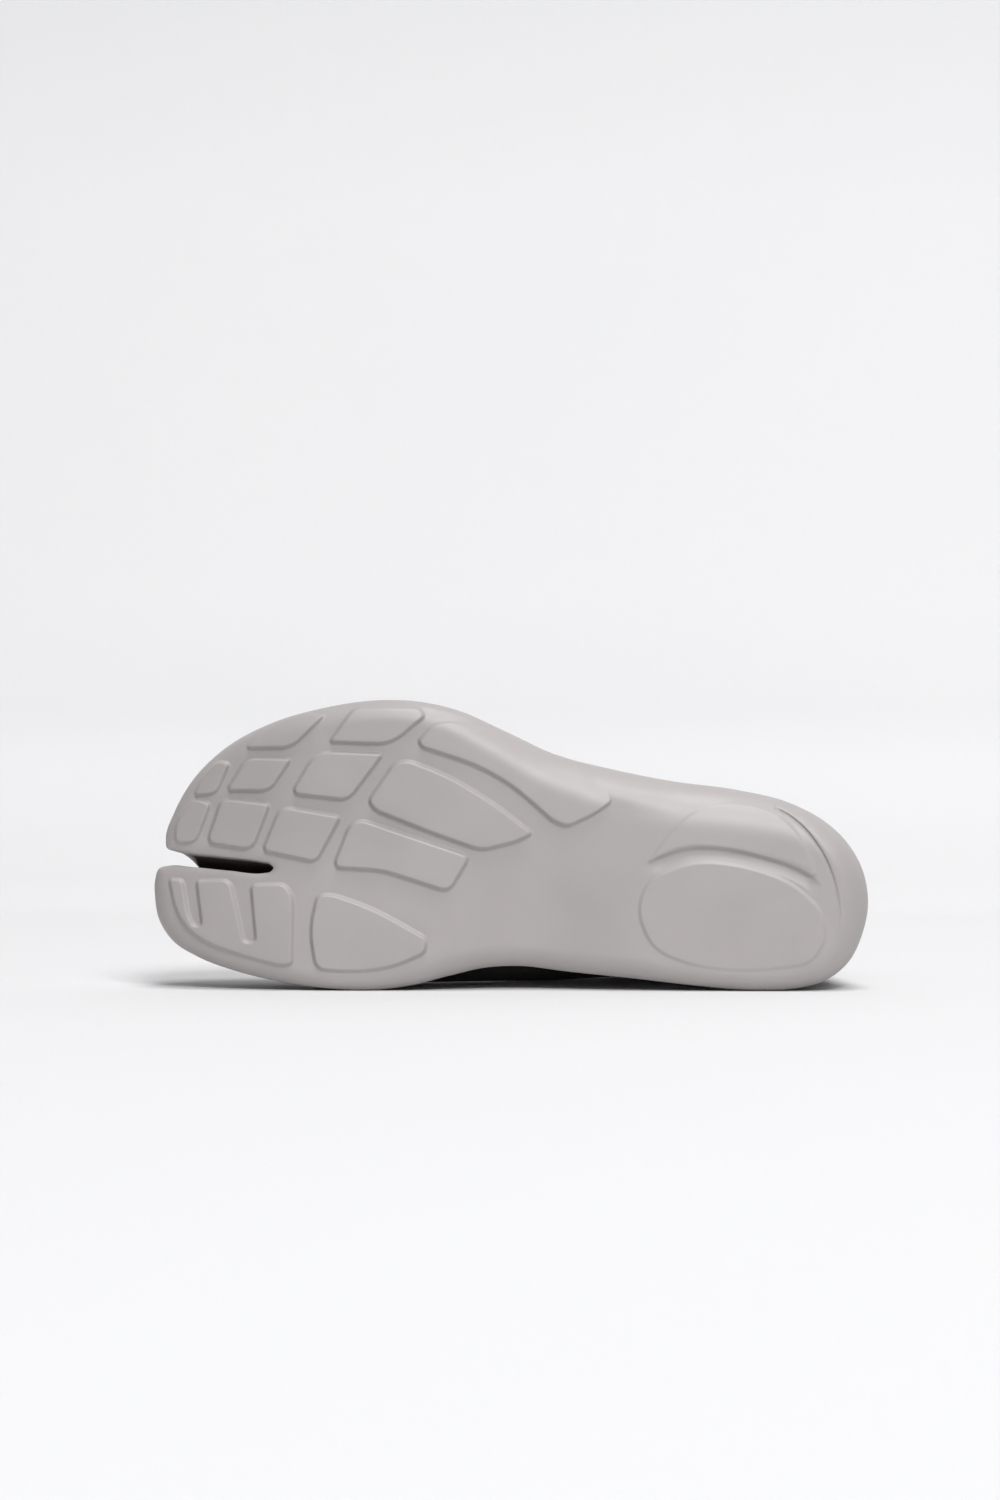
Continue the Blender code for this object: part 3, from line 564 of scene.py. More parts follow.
upperSizes = {
    "wall": 2.4, "lift": 0.5, "fitGap": 0.4, "footAbove": 1.0,  # the spokes' feet stand above the rim
    "innerPart": 30.0,
    "archBulge": 25.0, "bulgeMiddle": 136.0, "bulgeBack": 64.0, "bulgeFront": 52.0,
    "heelDraw": 3.0, "drawPart": (8.0, 20.0, 100.0, 40.0),
    "slitBulge": 10.0, "slitOuter": 49.0,
    "sagFrom": 66.0, "sagTo": 196.0, "sagOver": 16.0, "sagOut": 12.0,  # where the side sinks to the floor
    "floorGap": 0.4, "sagStep": 3.0, "sagReach": 4.0, "sagBand": 20.0, "sagEase": 16.0,
    "freeFrom": 3.0, "freeOver": 10.0,  # rows of the loft that may sink
    "fullness": 0.62, "upShare": 0.55, "collarPull": (0.1, 0.0, -0.4),
    "outlineStep": 0.12, "spokePoints": 44, "ridgeParts": 26, "tipParts": 24, "trunkParts": 9,
    "smoothRounds": 60, "smoothShare": 0.5, "heldRows": 4, "easedRows": 8, "easedMost": 0.9, "cell": 0.004,
    "ribEase": 8, "hemDepth": 11.0, "hemSwell": 0.35, "hemEase": 0.8, "hemTop": (0.6, 1.6),
    "hemSides": (1.0, -0.4),  # the hem swells outwards, and a little into the shoe
    "weld": 0.000006,
}
# foot s, top s, top h, top w inner side, top w outer side, rise (0 ridge, 1 collar's edge)
trunkTable = [
    (222.0, 213.0, 52.0, 46.0, 46.0, 0.0), (205.0, 198.0, 55.5, 45.5, 45.5, 0.0),
    (188.0, 182.0, 60.5, 45.0, 45.0, 0.0), (170.0, 165.0, 67.0, 44.0, 44.0, 0.0),
    (152.0, 148.5, 75.0, 43.0, 43.0, 0.0), (136.0, 133.5, 84.5, 42.0, 42.0, 0.0),
    (122.0, 121.5, 95.5, 41.5, 41.5, 0.0), (111.0, 112.5, 107.5, 41.8, 41.8, 0.12),
    (103.0, 107.0, 119.5, 42.1, 42.1, 0.3), (97.0, 104.0, 131.0, 42.3, 42.3, 0.5),
    (92.0, 102.6, 130.6, 31.8, 52.8, 0.68), (86.0, 98.0, 129.9, 22.8, 61.8, 0.82),
    (78.0, 90.0, 128.8, 15.9, 68.5, 0.93), (66.0, 77.0, 127.6, 11.9, 72.3, 1.0),
    (52.0, 60.0, 127.0, 10.7, 73.3, 1.0), (38.0, 43.0, 127.2, 11.9, 71.9, 1.0),
    (26.0, 28.5, 128.0, 16.8, 66.8, 1.0), (15.0, 17.5, 129.2, 25.3, 58.3, 1.0),
    (6.0, 11.5, 130.4, 34.3, 49.8, 1.0), (0.0, 10.0, 130.8, 41.8, 41.8, 1.0),
]
collarFrontRow = 9
collarMiddle = (57.0, 42.0)
shoeMiddle = (70.0, 42.0, 70.0)
bigToeRidge = [(213.0, 46.0, 52.0), (234.0, 33.0, 48.5), (257.0, 33.0, 43.5)]
toesRidge = [(213.0, 46.0, 52.0), (230.0, 64.0, 50.0), (249.0, 72.0, 45.0)]

# soft folds: middle s, w, h; run s, w, h; across s, w, h; half length, half width, depth
softFolds = [
    ((112.0, 42.0, 108.0), (0.0, 1.0, 0.0), (-0.5, 0.0, 0.86), 24.0, 3.2, 0.9),
    ((118.5, 42.0, 98.0), (0.0, 1.0, 0.1), (-0.6, 0.0, 0.8), 28.0, 3.6, 0.8),
    ((127.0, 44.0, 89.0), (0.0, 1.0, -0.1), (-0.7, 0.0, 0.7), 22.0, 3.4, 0.5),
    ((8.0, 41.0, 96.0), (0.0, 1.0, 0.0), (0.0, 0.0, 1.0), 20.0, 3.5, 0.6),
    ((6.0, 41.0, 82.0), (0.0, 1.0, 0.15), (0.0, 0.0, 1.0), 18.0, 3.5, 0.5),
    ((60.0, 76.0, 92.0), (0.8, 0.0, -0.6), (0.6, 0.0, 0.8), 26.0, 4.5, 0.6),
    ((60.0, 8.0, 92.0), (0.8, 0.0, -0.6), (0.6, 0.0, 0.8), 26.0, 4.5, 0.6),
]
foldReach, foldEase = 14.0, 6.0


def ridgePoints(rows, count):
    points = curveThrough(rows, 0.5, False)[0]
    run = np.concatenate([[0], np.cumsum(np.linalg.norm(np.diff(points, axis=0), axis=1))])
    at = np.linspace(0, run[-1], count + 1)
    return np.column_stack([np.interp(at, run, points[:, k]) for k in range(3)])


def trunkSpokes(count):
    table = np.array(trunkTable)
    keyed = np.column_stack([np.arange(len(table)), np.zeros(len(table)), table])
    rows = curveThrough(keyed, 1.0 / count, False)[0][:, 2:]
    front = collarFrontRow * count
    mirrored = table[collarFrontRow + 1, [0, 1, 2, 4, 3, 5]]  # keeps the collar level at its front
    collar = np.vstack([mirrored, table[collarFrontRow:]])
    keyed = np.column_stack([np.arange(len(collar)), np.zeros(len(collar)), collar])
    rows[front:, 1:5] = curveThrough(keyed, 1.0 / count, False)[0][count:, 3:7]
    rows[:front + 1, 3:5] = rows[:front + 1, 3:5].mean(axis=1, keepdims=True)
    rows[:, 5] = np.clip(rows[:, 5], 0.0, 1.0)
    return rows, front


def makeSpokes():
    z, spokes = upperSizes, []
    fine, marks = curveThrough(innerRows(), z["outlineStep"], True)
    big, toes = ridgePoints(bigToeRidge, z["ridgeParts"]), ridgePoints(toesRidge, z["ridgeParts"])
    rows, front = trunkSpokes(z["trunkParts"])
    heel = marks[heelRow]
    innerSide = fine[marks[bigToeRow]:heel + 1, 0]
    outerSide = fine[heel:marks[toesRow], 0]
    trunkIn = [int(np.argmin(np.abs(innerSide - f))) + marks[bigToeRow] for f in rows[:, 0]]
    trunkOut = [int(np.argmin(np.abs(outerSide - f))) + heel for f in rows[:, 0]]

    def at(row, more=0.0):  # index of a row of the outline, moved on by some millimetres
        return marks[row] + int(round(more / z["outlineStep"]))

    def run(first, last, count, tops):
        feet = np.round(np.linspace(first, last, count + 1)).astype(int) % len(fine)
        for k, index in enumerate(feet):
            spokes.append((int(index), tops[k if len(tops) > 1 else 0], (0.0, 0.0, -1.0), 0.0, False))

    along = np.gradient(rows[:, 1:3], axis=0)
    along /= np.linalg.norm(along, axis=1)[:, None]

    def trunk(feet, column, order):
        for k in order:
            top = np.array([rows[k, 1], rows[k, column], rows[k, 2]])
            if k <= front:
                way = np.array([-along[k, 1], 0.0, along[k, 0]])
            else:
                way = np.array([*(np.array(collarMiddle) - top[:2]), 0.0])
            spokes.append((feet[k], top, way / np.linalg.norm(way), float(rows[k, 5]), k >= front))

    run(at(0), at(2, -0.5), 7, big[:1])
    run(at(2), at(4, 3.0), z["ridgeParts"], big)
    run(at(5), at(bigToeRow, 7.0), z["tipParts"], big[-1:])
    run(at(9, 5.0), trunkIn[0], z["ridgeParts"], big[::-1])
    trunk(trunkIn, 3, range(1, len(rows)))
    trunk(trunkOut, 4, range(len(rows) - 2, 0, -1))
    run(trunkOut[0], at(44, 3.0), z["ridgeParts"], toes)
    run(at(45), at(48, -2.0), z["tipParts"], toes[-1:])
    run(at(48, 3.0), at(50), z["ridgeParts"], toes[::-1])
    run(at(51, -0.5), len(fine) - 4, 4, toes[:1])
    pick, tops, way, rise, collar = zip(*spokes)
    return makeLoop(fine), np.array(pick), np.array(tops), np.array(way), np.array(rise)[:, None], collar


def loftSkin(spokes, depth):  # rings of one skin, the given depth inside the outer one
    loop, pick, tops, way, rise, _ = spokes
    z = upperSizes
    wall = loop["cup"] + z["fitGap"] + depth
    bottom = loopAt(loop, wall, loop["floor"] + z["lift"], pick)
    foot = loopAt(loop, wall, loop["rim"] + z["footAbove"], pick)
    top = tops + way * depth
    gap = top - foot
    level = gap * (1, 1, 0)
    reach = np.linalg.norm(level, axis=1)[:, None]
    across = np.column_stack([0 * reach, np.sign(gap[:, 1:2]), 0 * reach])
    sideways = np.where(rise > 0, across, level / reach)
    innerSide = foot[:, 1] < z["innerPart"]
    span = np.where(foot[:, 0] < z["bulgeMiddle"], z["bulgeBack"], z["bulgeFront"])
    arch = z["archBulge"] * smoothStep(1 - np.abs(foot[:, 0] - z["bulgeMiddle"]) / span)
    heel = z["heelDraw"] * between(foot[:, 0], *z["drawPart"])
    slit = z["slitBulge"] * loop["skew"][pick] * (loop["w"][pick] > z["slitOuter"])
    up = np.column_stack([0 * arch, (heel - arch) * innerSide - slit, z["upShare"] * gap[:, 2]])
    back = rise * np.array([z["collarPull"]]) * gap[:, 2:] - (1 - rise) * sideways * reach * z["fullness"]
    first, second = foot + up, top + back
    rings = [bottom, (bottom + foot) / 2, foot]
    for t in np.arange(1, z["spokePoints"] + 1) / z["spokePoints"]:
        start = (1 - t) ** 3 * foot + 3 * t * (1 - t) ** 2 * first
        rings.append(start + 3 * t * t * (1 - t) * second + t ** 3 * top)
    return np.array(rings)


def stitchMap(outer, faces):  # place in the knit of each face corner
    rows, count = outer.shape[:2]
    around = np.linalg.norm(np.roll(outer[2], -1, axis=0) - outer[2], axis=1)
    around = np.concatenate([[0.0], np.cumsum(around)])
    up = np.cumsum(np.linalg.norm(np.diff(outer, axis=0), axis=2), axis=0)
    up = np.concatenate([np.zeros((1, count)), up])
    corners = []
    for face in faces:
        columns = [k % (rows * count) % count for k in face]
        wraps = max(columns) - min(columns) > 1
        for k, column in zip(face, columns):
            row = k % (rows * count) // count
            corners.append((around[count if wraps and column == 0 else column], up[row, column]))
    return corners


def hemMap(points, edge):  # millimetres below the collar's edge, and round it each way from its front
    down, ribs = np.full(len(points), 99.0), np.zeros(len(points))
    near = np.flatnonzero(points[:, 2] > edge[:, 2].min() - 3 * upperSizes["hemDepth"])
    place = lineDistance(points[near, :2], edge[:, :2], False)[2] * (len(edge) - 1)
    steps = np.arange(len(edge))
    run = np.concatenate([[0.0], np.cumsum(np.linalg.norm(np.diff(edge, axis=0), axis=1))])
    down[near] = np.interp(place, steps, edge[:, 2]) - points[near, 2]
    ribs[near] = np.interp(place, steps, np.minimum(run, run[-1] - run))
    return down, ribs


def folds(points):  # soft creases where the ankle bends
    move = np.zeros_like(points)
    for middle, run, across, halfLength, halfWidth, depth in softFolds:
        run, across = np.array(run) / np.linalg.norm(run), np.array(across) / np.linalg.norm(across)
        out = np.cross(run, across)
        out *= np.sign(out @ (np.array(middle) - shoeMiddle)) / np.linalg.norm(out)
        place = points - np.array(middle)
        strength = np.exp(-(place @ across / halfWidth) ** 2)
        strength *= smoothStep(1 - np.abs(place @ run) / halfLength)
        strength *= smoothStep((place @ out + foldReach) / foldEase)  # this side of the shoe only
        move -= out * (depth * strength)[:, None]
    return move


def sag(points, free):  # how far the soft side sinks to the floor beside the arch
    z = upperSizes
    s, high = points[:, 0], worldPoints(points)[:, 2] * 1000.0
    middles = np.arange(z["sagFrom"] - z["sagOut"], z["sagTo"] + z["sagOut"], z["sagStep"])
    loose = free > 0.9
    lowest = np.array([high[(np.abs(s - m) < z["sagReach"]) & loose].min() for m in middles])
    lowest = np.convolve(np.pad(lowest, 2, "edge"), np.ones(5) / 5, "valid")
    under = np.interp(s, middles, lowest)
    drop = np.clip(under - z["floorGap"], 0.0, None)
    drop *= between(s, z["sagFrom"], z["sagOver"], z["sagTo"], z["sagOut"])
    return drop * free * smoothStep((under + z["sagBand"] - high) / z["sagEase"])


def evenOut(points, faces, held):  # smooths the loft where many spokes meet, except where it is held
    z = upperSizes
    cells, back = np.unique(np.round(points / z["cell"]).astype(int), axis=0, return_inverse=True)
    back = back.ravel()
    total = len(cells)
    share = np.bincount(back, minlength=total)
    body = np.column_stack([np.bincount(back, points[:, k], total) / share for k in range(3)])
    hold = np.zeros(total)
    np.maximum.at(hold, back, held)
    pairs = np.array([(back[f[i]], back[f[(i + 1) % 4]]) for f in faces for i in range(4)])
    pairs = np.unique(np.sort(pairs[pairs[:, 0] != pairs[:, 1]], axis=1), axis=0)
    degree = np.bincount(pairs.ravel(), minlength=total)
    for _ in range(z["smoothRounds"]):
        near = np.zeros_like(body)
        for k in range(3):
            near[:, k] = (np.bincount(pairs[:, 0], body[pairs[:, 1], k], total)
                          + np.bincount(pairs[:, 1], body[pairs[:, 0], k], total))
        body += z["smoothShare"] * (1 - hold)[:, None] * (near / degree[:, None] - body)
    return body[back]


def makeUpper():
    z = upperSizes
    spokes = makeSpokes()
    outer, inner = loftSkin(spokes, 0.0), loftSkin(spokes, z["wall"])
    rows, count = outer.shape[:2]
    points = np.concatenate([outer.reshape(-1, 3), inner.reshape(-1, 3)])
    number = np.arange(rows * count).reshape(rows, count)
    inside = number + rows * count
    faces = []
    for k in range(rows - 1):
        strip(faces, number[k].tolist(), number[k + 1].tolist())
        strip(faces, inside[k].tolist(), inside[k + 1].tolist())
    strip(faces, number[0].tolist(), inside[0].tolist())
    collar = [k for k, there in enumerate(spokes[5]) if there]
    strip(faces, number[-1][collar].tolist(), inside[-1][collar].tolist(), closed=False)
    stitches = stitchMap(outer, faces)
    down, ribs = hemMap(outer.reshape(-1, 3), outer[-1][collar])
    ribs = ribs.reshape(rows, count)
    for _ in range(z["ribEase"]):  # so that the ribs fan out evenly at the collar's front
        ribs = (np.roll(ribs, 1, 1) + 2 * ribs + np.roll(ribs, -1, 1)) / 4
    down, ribs = np.tile(down, 2), np.tile(ribs.ravel(), 2)
    hem = smoothStep((z["hemDepth"] + z["hemEase"] / 2 - down) / z["hemEase"])

    held = np.zeros((rows, count))  # the part inside the cup and the collar's edge stay as they are
    first, eased = z["heldRows"], z["easedRows"]
    held[:first] = 1.0
    held[first:first + eased] = np.linspace(z["easedMost"], 0.0, eased)[:, None]
    edge = np.zeros(count, bool)
    edge[collar] = True
    held[-eased:, edge] = np.maximum(held[-eased:, edge], np.linspace(0.0, 1.0, eased)[:, None])
    points = evenOut(points, faces, np.tile(held.ravel(), 2))
    points += folds(points)
    out = points - np.array([*collarMiddle, 0.0])
    out[:, 2] = 0.0
    out /= np.maximum(np.linalg.norm(out, axis=1), 1e-6)[:, None]
    band = smoothStep((z["hemDepth"] - down) / z["hemEase"])
    band *= smoothStep((down + z["hemTop"][0]) / z["hemTop"][1])
    points += out * (z["hemSwell"] * band * np.repeat(z["hemSides"], rows * count))[:, None]
    free = np.repeat(smoothStep((np.arange(rows) - z["freeFrom"]) / z["freeOver"]), count)
    points[:, 1] -= sag(points, np.tile(free, 2))
    return makePiece("knit_upper", points, faces, z["weld"], stitches, {"hem": hem, "ribs": ribs})


# insole: thin cloth-covered foam on the cup's floor

insoleSizes = {
    "gap": 0.9, "thick": 4.0, "floorGap": 0.3, "edgeRound": 1.4,
    "step": 1.6, "outlineStep": 0.5, "fillStep": 5.0,
}


def makeInsole():
    z = insoleSizes
    fine = curveThrough(innerRows(), z["outlineStep"], True)[0]
    loop = makeLoop(fine)
    inset = loop["cup"] + upperSizes["fitGap"] + upperSizes["wall"] + z["gap"]
    edge = loopAt(loop, inset + z["edgeRound"], 0.0)
    clear = np.flatnonzero(nearest(edge[:, :2], fine[:, :2]) > inset + z["edgeRound"] - 0.05)
    run = np.cumsum(np.linalg.norm(edge[clear] - np.roll(edge[clear], 1, axis=0), axis=1))
    clear = clear[np.searchsorted(run, np.arange(run[0], run[-1], z["step"]))]
    points, faces, rings = [], [], []
    steps = [(0.0, 0.0)]
    for angle in np.radians(np.linspace(0, 90, 6)):
        h = z["thick"] - z["edgeRound"] * (1 - math.sin(angle))
        steps.append((h, z["edgeRound"] * (1 - math.cos(angle))))
    for h, more in steps:
        ring = loopAt(loop, inset + more, loop["floor"] + z["floorGap"] + h, clear)
        rings.append(list(range(len(points), len(points) + len(ring))))
        points.extend(ring.tolist())
    for a, b in zip(rings, rings[1:]):
        strip(faces, a, b)
    for ring, lift, turn in ((rings[0], 0.0, False), (rings[-1], z["thick"], True)):
        def heights(flat):
            return cupFloor(flat) + z["floorGap"] + lift

        fillRing(points, faces, ring, noPoints, z["fillStep"], heights, turn)
    return makePiece("cloth_insole", points, faces)


# finishes: every one is worked out by shader nodes

soleFinish = {
    "dark": (0.370, 0.344, 0.343, 1), "light": (0.397, 0.370, 0.368, 1),
    "slitShadeTint": (0.066, 0.045, 0.045, 1),  # painted shade: the slit's walls darkened
    "forefootShadeTint": (0.93, 0.93, 0.93, 1),  # painted shade: the outer forefoot's tread is a touch darker
    "mottle": 38.0, "grain": 2600.0, "sheen": 0.55,
    "roughLow": 0.4, "roughHigh": 0.52, "bump": 0.10, "bumpDepth": 0.00012,
}
upperFinish = {
    "dark": (0.028, 0.0245, 0.0245, 1), "light": (0.066, 0.058, 0.058, 1),
    "mottle": 30.0, "grain": 3000.0, "sheen": 0.2,
    "pattern": dict(Wide=1.5, High=1.15, Slant=0.55, Rib=2.3),  # a stitch, the lean of its legs, a rib
    "patternTone": 0.55, "grainTone": 0.5, "grainHeight": 0.2,
    "roughLow": 0.78, "roughHigh": 0.92, "bump": 0.55, "bumpDepth": 0.0005,
}
insoleFinish = {
    "dark": (0.09, 0.085, 0.085, 1), "light": (0.16, 0.151, 0.151, 1),
    "mottle": 40.0, "grain": 3000.0, "sheen": 0.2,
    "pattern": dict(Threads=900.0),  # threads a metre
    "patternTone": 0.4, "grainTone": 0.6, "grainHeight": 0.2,
    "roughLow": 0.85, "roughHigh": 0.95, "bump": 0.4, "bumpDepth": 0.0003,
}


def addNode(tree, kind, settings=None, **inputs):  # an input is a socket to link or a plain value
    node = tree.nodes.new(kind)
    for key, value in (settings or {}).items():
        setattr(node, key, value)
    for key, value in inputs.items():
        setInput(tree, node, key.replace("_", " "), value)
    return node


def setInput(tree, node, key, value):
    if isinstance(value, bpy.types.NodeSocket):
        tree.links.new(value, node.inputs[key])
    else:
        node.inputs[key].default_value = value


def calc(tree, operation, *values):  # one sum on the way, as a socket
    node = tree.nodes.new("ShaderNodeMath")
    node.operation = operation
    for k, value in enumerate(values):
        setInput(tree, node, k, value)
    return node.outputs[0]


def newGroup(name, inputs, outputs):
    group = bpy.data.node_groups.new(name, "ShaderNodeTree")
    kinds = dict.fromkeys(("Dark", "Light", "Colour"), "NodeSocketColor")
    kinds["Normal"] = "NodeSocketVector"
    for way, labels in (("INPUT", inputs), ("OUTPUT", outputs)):
        for label in labels:
            group.interface.new_socket(label, in_out=way, socket_type=kinds.get(label, "NodeSocketFloat"))
    return group, group.nodes.new("NodeGroupInput").outputs, group.nodes.new("NodeGroupOutput")


def fineGrainGroup():  # slow change of tone, and fine grain
    group, given, result = newGroup("fine_grain", ("Mottle", "Grain"), ("Tone", "Height"))
    place = addNode(group, "ShaderNodeTexCoord").outputs["Object"]
    for socket, scale, detail, rough in (("Tone", "Mottle", 4.0, 0.55), ("Height", "Grain", 2.0, 0.5)):
        noise = addNode(group, "ShaderNodeTexNoise", Vector=place, Scale=given[scale])
        noise.inputs["Detail"].default_value = detail
        noise.inputs["Roughness"].default_value = rough
        setInput(group, result, socket, noise.outputs[0])
    return group


knitShape = {
    "legPower": 0.6, "turnPower": 3.0,
    "ribSlope": 3.0, "ribRound": 0.3, "stitchInRib": 0.3, "ribInRib": 0.7,
}


def knitGroup():  # legs of knitted stitches, turning into ribs at the hem
    k = knitShape
    group, given, result = newGroup("knit_stitches", ("Wide", "High", "Slant", "Rib"), ("Height",))
    place = addNode(group, "ShaderNodeUVMap", {"uv_map": "stitches"}).outputs[0]
    split = addNode(group, "ShaderNodeSeparateXYZ", Vector=place).outputs
    column = calc(group, "PINGPONG", calc(group, "DIVIDE", split["X"], given["Wide"]), 0.5)
    leg = calc(group, "ABSOLUTE", calc(group, "MULTIPLY_ADD", column, 4.0, -1.0))
    leg = calc(group, "SUBTRACT", 1.0, leg)
    lift = calc(group, "MULTIPLY", calc(group, "MULTIPLY", column, 2.0), given["Slant"])
    row = calc(group, "ADD", calc(group, "DIVIDE", split["Y"], given["High"]), lift)
    row = calc(group, "MULTIPLY", calc(group, "PINGPONG", row, 0.5), 2.0)
    turn = calc(group, "SUBTRACT", 1.0, calc(group, "POWER", row, k["turnPower"]))
    stitch = calc(group, "MULTIPLY", calc(group, "POWER", leg, k["legPower"]), turn)
    ribs = addNode(group, "ShaderNodeAttribute", {"attribute_name": "ribs"}).outputs["Fac"]
    rib = calc(group, "PINGPONG", calc(group, "DIVIDE", ribs, given["Rib"]), 0.5)
    rib = calc(group, "SMOOTH_MIN", calc(group, "MULTIPLY", rib, k["ribSlope"]), 1.0, k["ribRound"])
    rib = calc(group, "MULTIPLY_ADD", stitch, k["stitchInRib"], calc(group, "MULTIPLY", rib, k["ribInRib"]))
    hem = addNode(group, "ShaderNodeAttribute", {"attribute_name": "hem"}).outputs["Fac"]
    change = calc(group, "MULTIPLY", calc(group, "SUBTRACT", rib, stitch), hem)
    setInput(group, result, "Height", calc(group, "ADD", stitch, change))
    return group


def weaveGroup():  # over and under of a plain weave
    group, given, result = newGroup("plain_weave", ("Threads",), ("Height",))
    place = addNode(group, "ShaderNodeTexCoord").outputs["Object"]
    split = addNode(group, "ShaderNodeSeparateXYZ", Vector=place).outputs
    turns = calc(group, "MULTIPLY", given["Threads"], math.pi)
    warp = calc(group, "SINE", calc(group, "MULTIPLY", split["X"], turns))
    weft = calc(group, "SINE", calc(group, "MULTIPLY", split["Z"], turns))
    over = calc(group, "MULTIPLY", warp, weft)
    setInput(group, result, "Height", calc(group, "MULTIPLY_ADD", over, 0.5, 0.5))
    return group


def mixColour(tree, blend, share, first, second):
    node = addNode(tree, "ShaderNodeMix", {"data_type": "RGBA", "blend_type": blend})
    setInput(tree, node, 0, share)
    setInput(tree, node, 6, first)
    setInput(tree, node, 7, second)
    return node.outputs[2]


def groupNode(tree, group, **inputs):
    node = addNode(tree, "ShaderNodeGroup", {"node_tree": group})
    for key, value in inputs.items():
        setInput(tree, node, key, value)
    return node.outputs


def finishGroup():  # tone and height to colour, roughness and normal
    inputs = ("Tone", "Height", "Dark", "Light", "Smooth", "Rough", "Bump", "Depth")
    group, given, result = newGroup("finish", inputs, ("Colour", "Roughness", "Normal"))
    tone, rough, smooth = given["Tone"], given["Rough"], given["Smooth"]
    step = addNode(group, "ShaderNodeMapRange", Value=tone, From_Min=0.25, From_Max=0.75).outputs[0]
    setInput(group, result, "Colour", mixColour(group, "MIX", step, given["Dark"], given["Light"]))
    gloss = addNode(group, "ShaderNodeMapRange", Value=tone, To_Min=rough, To_Max=smooth)
    setInput(group, result, "Roughness", gloss.outputs[0])
    bump = addNode(group, "ShaderNodeBump", Strength=given["Bump"], Distance=given["Depth"])
    setInput(group, bump, "Height", given["Height"])
    setInput(group, result, "Normal", bump.outputs[0])
    return group


def wireFinish(tree, shader, finish, tone, height):
    made = groupNode(
        tree, finishShared, Tone=tone, Height=height, Dark=finish["dark"], Light=finish["light"],
        Smooth=finish["roughLow"], Rough=finish["roughHigh"],
        Bump=finish["bump"], Depth=finish["bumpDepth"],
    )
    for socket, label in (("Base Color", "Colour"), ("Roughness", "Roughness"), ("Normal", "Normal")):
        setInput(tree, shader, socket, made[label])


fineGrain = fineGrainGroup()
finishShared = finishGroup()


def startMaterial(name, finish):
    material = bpy.data.materials.new(name)
    material.use_nodes = True
    tree = material.node_tree
    grain = groupNode(tree, fineGrain, Mottle=finish["mottle"], Grain=finish["grain"])
    return material, tree, tree.nodes["Principled BSDF"], grain


def soleMaterial():
    f = soleFinish
    material, tree, shader, grain = startMaterial("sole_rubber_finish", f)
    wireFinish(tree, shader, f, grain["Tone"], grain["Height"])
    rubber = shader.inputs["Base Color"].links[0].from_socket
    # painted shade on the outer forefoot's tread
    forefootShade = addNode(tree, "ShaderNodeAttribute", {"attribute_name": "forefootShade"}).outputs["Fac"]
    rubber = mixColour(tree, "MULTIPLY", forefootShade, rubber, f["forefootShadeTint"])
    # painted shade on the slit's walls
    slitShade = addNode(tree, "ShaderNodeAttribute", {"attribute_name": "slitShade"}).outputs["Fac"]
    setInput(tree, shader, "Base Color", mixColour(tree, "MIX", slitShade, rubber, f["slitShadeTint"]))
    sheen = calc(tree, "MULTIPLY_ADD", slitShade, -f["sheen"], f["sheen"])  # no sheen where the slit's walls are painted dark
    setInput(tree, shader, "Specular IOR Level", sheen)
    return material


def clothMaterial(name, finish, group):
    material, tree, shader, grain = startMaterial(name, finish)
    pattern = groupNode(tree, group, **finish["pattern"])["Height"]
    tone = calc(tree, "MULTIPLY", grain["Tone"], finish["grainTone"])
    tone = calc(tree, "MULTIPLY_ADD", pattern, finish["patternTone"], tone)
    height = calc(tree, "MULTIPLY_ADD", grain["Height"], finish["grainHeight"], pattern)
    wireFinish(tree, shader, finish, tone, height)
    shader.inputs["Specular IOR Level"].default_value = finish["sheen"]
    return material


sole = makeSole()
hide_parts("sole")
sole.data.materials.append(soleMaterial())
print("sole made:", len(sole.data.polygons), "faces")
upper = makeUpper()
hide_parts("upper")
upper.data.materials.append(clothMaterial("upper_knit_finish", upperFinish, knitGroup()))
print("upper made:", len(upper.data.polygons), "faces")
insole = makeInsole()
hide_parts("insole")
insole.data.materials.append(clothMaterial("insole_cloth_finish", insoleFinish, weaveGroup()))
print("insole made:", len(insole.data.polygons), "faces")


# stage: pale floor that curves up into a pale wall, soft light from above and in front

paperFinish = {
    "dark": (0.98, 0.98, 0.995, 1), "light": (0.988, 0.988, 1.0, 1),
    "mottle": 3.0, "grain": 900.0, "sheen": 0.1,
    "wallHigh": 0.6,
    "wallTones": (  # brightness up the wall
        (0.0, 0.71), (0.03, 0.69), (0.07, 0.715), (0.14, 0.795), (0.21, 0.845), (0.3, 0.855),
        (0.7, 0.82), (1.0, 0.74),
    ),
    "thrown": (0.7, 0.7, 0.7, 1),  # what the paper throws back at the shoe
    "roughLow": 0.9, "roughHigh": 0.95, "bump": 0.02, "bumpDepth": 0.0001,
}
stageSizes = {
    "wallAt": 0.62, "bend": 0.12, "wide": 3.6, "front": -3.6, "high": 2.4,
    "fadeFrom": 2.2, "fadeTo": 3.5,  # distance over which the paper fades out
}


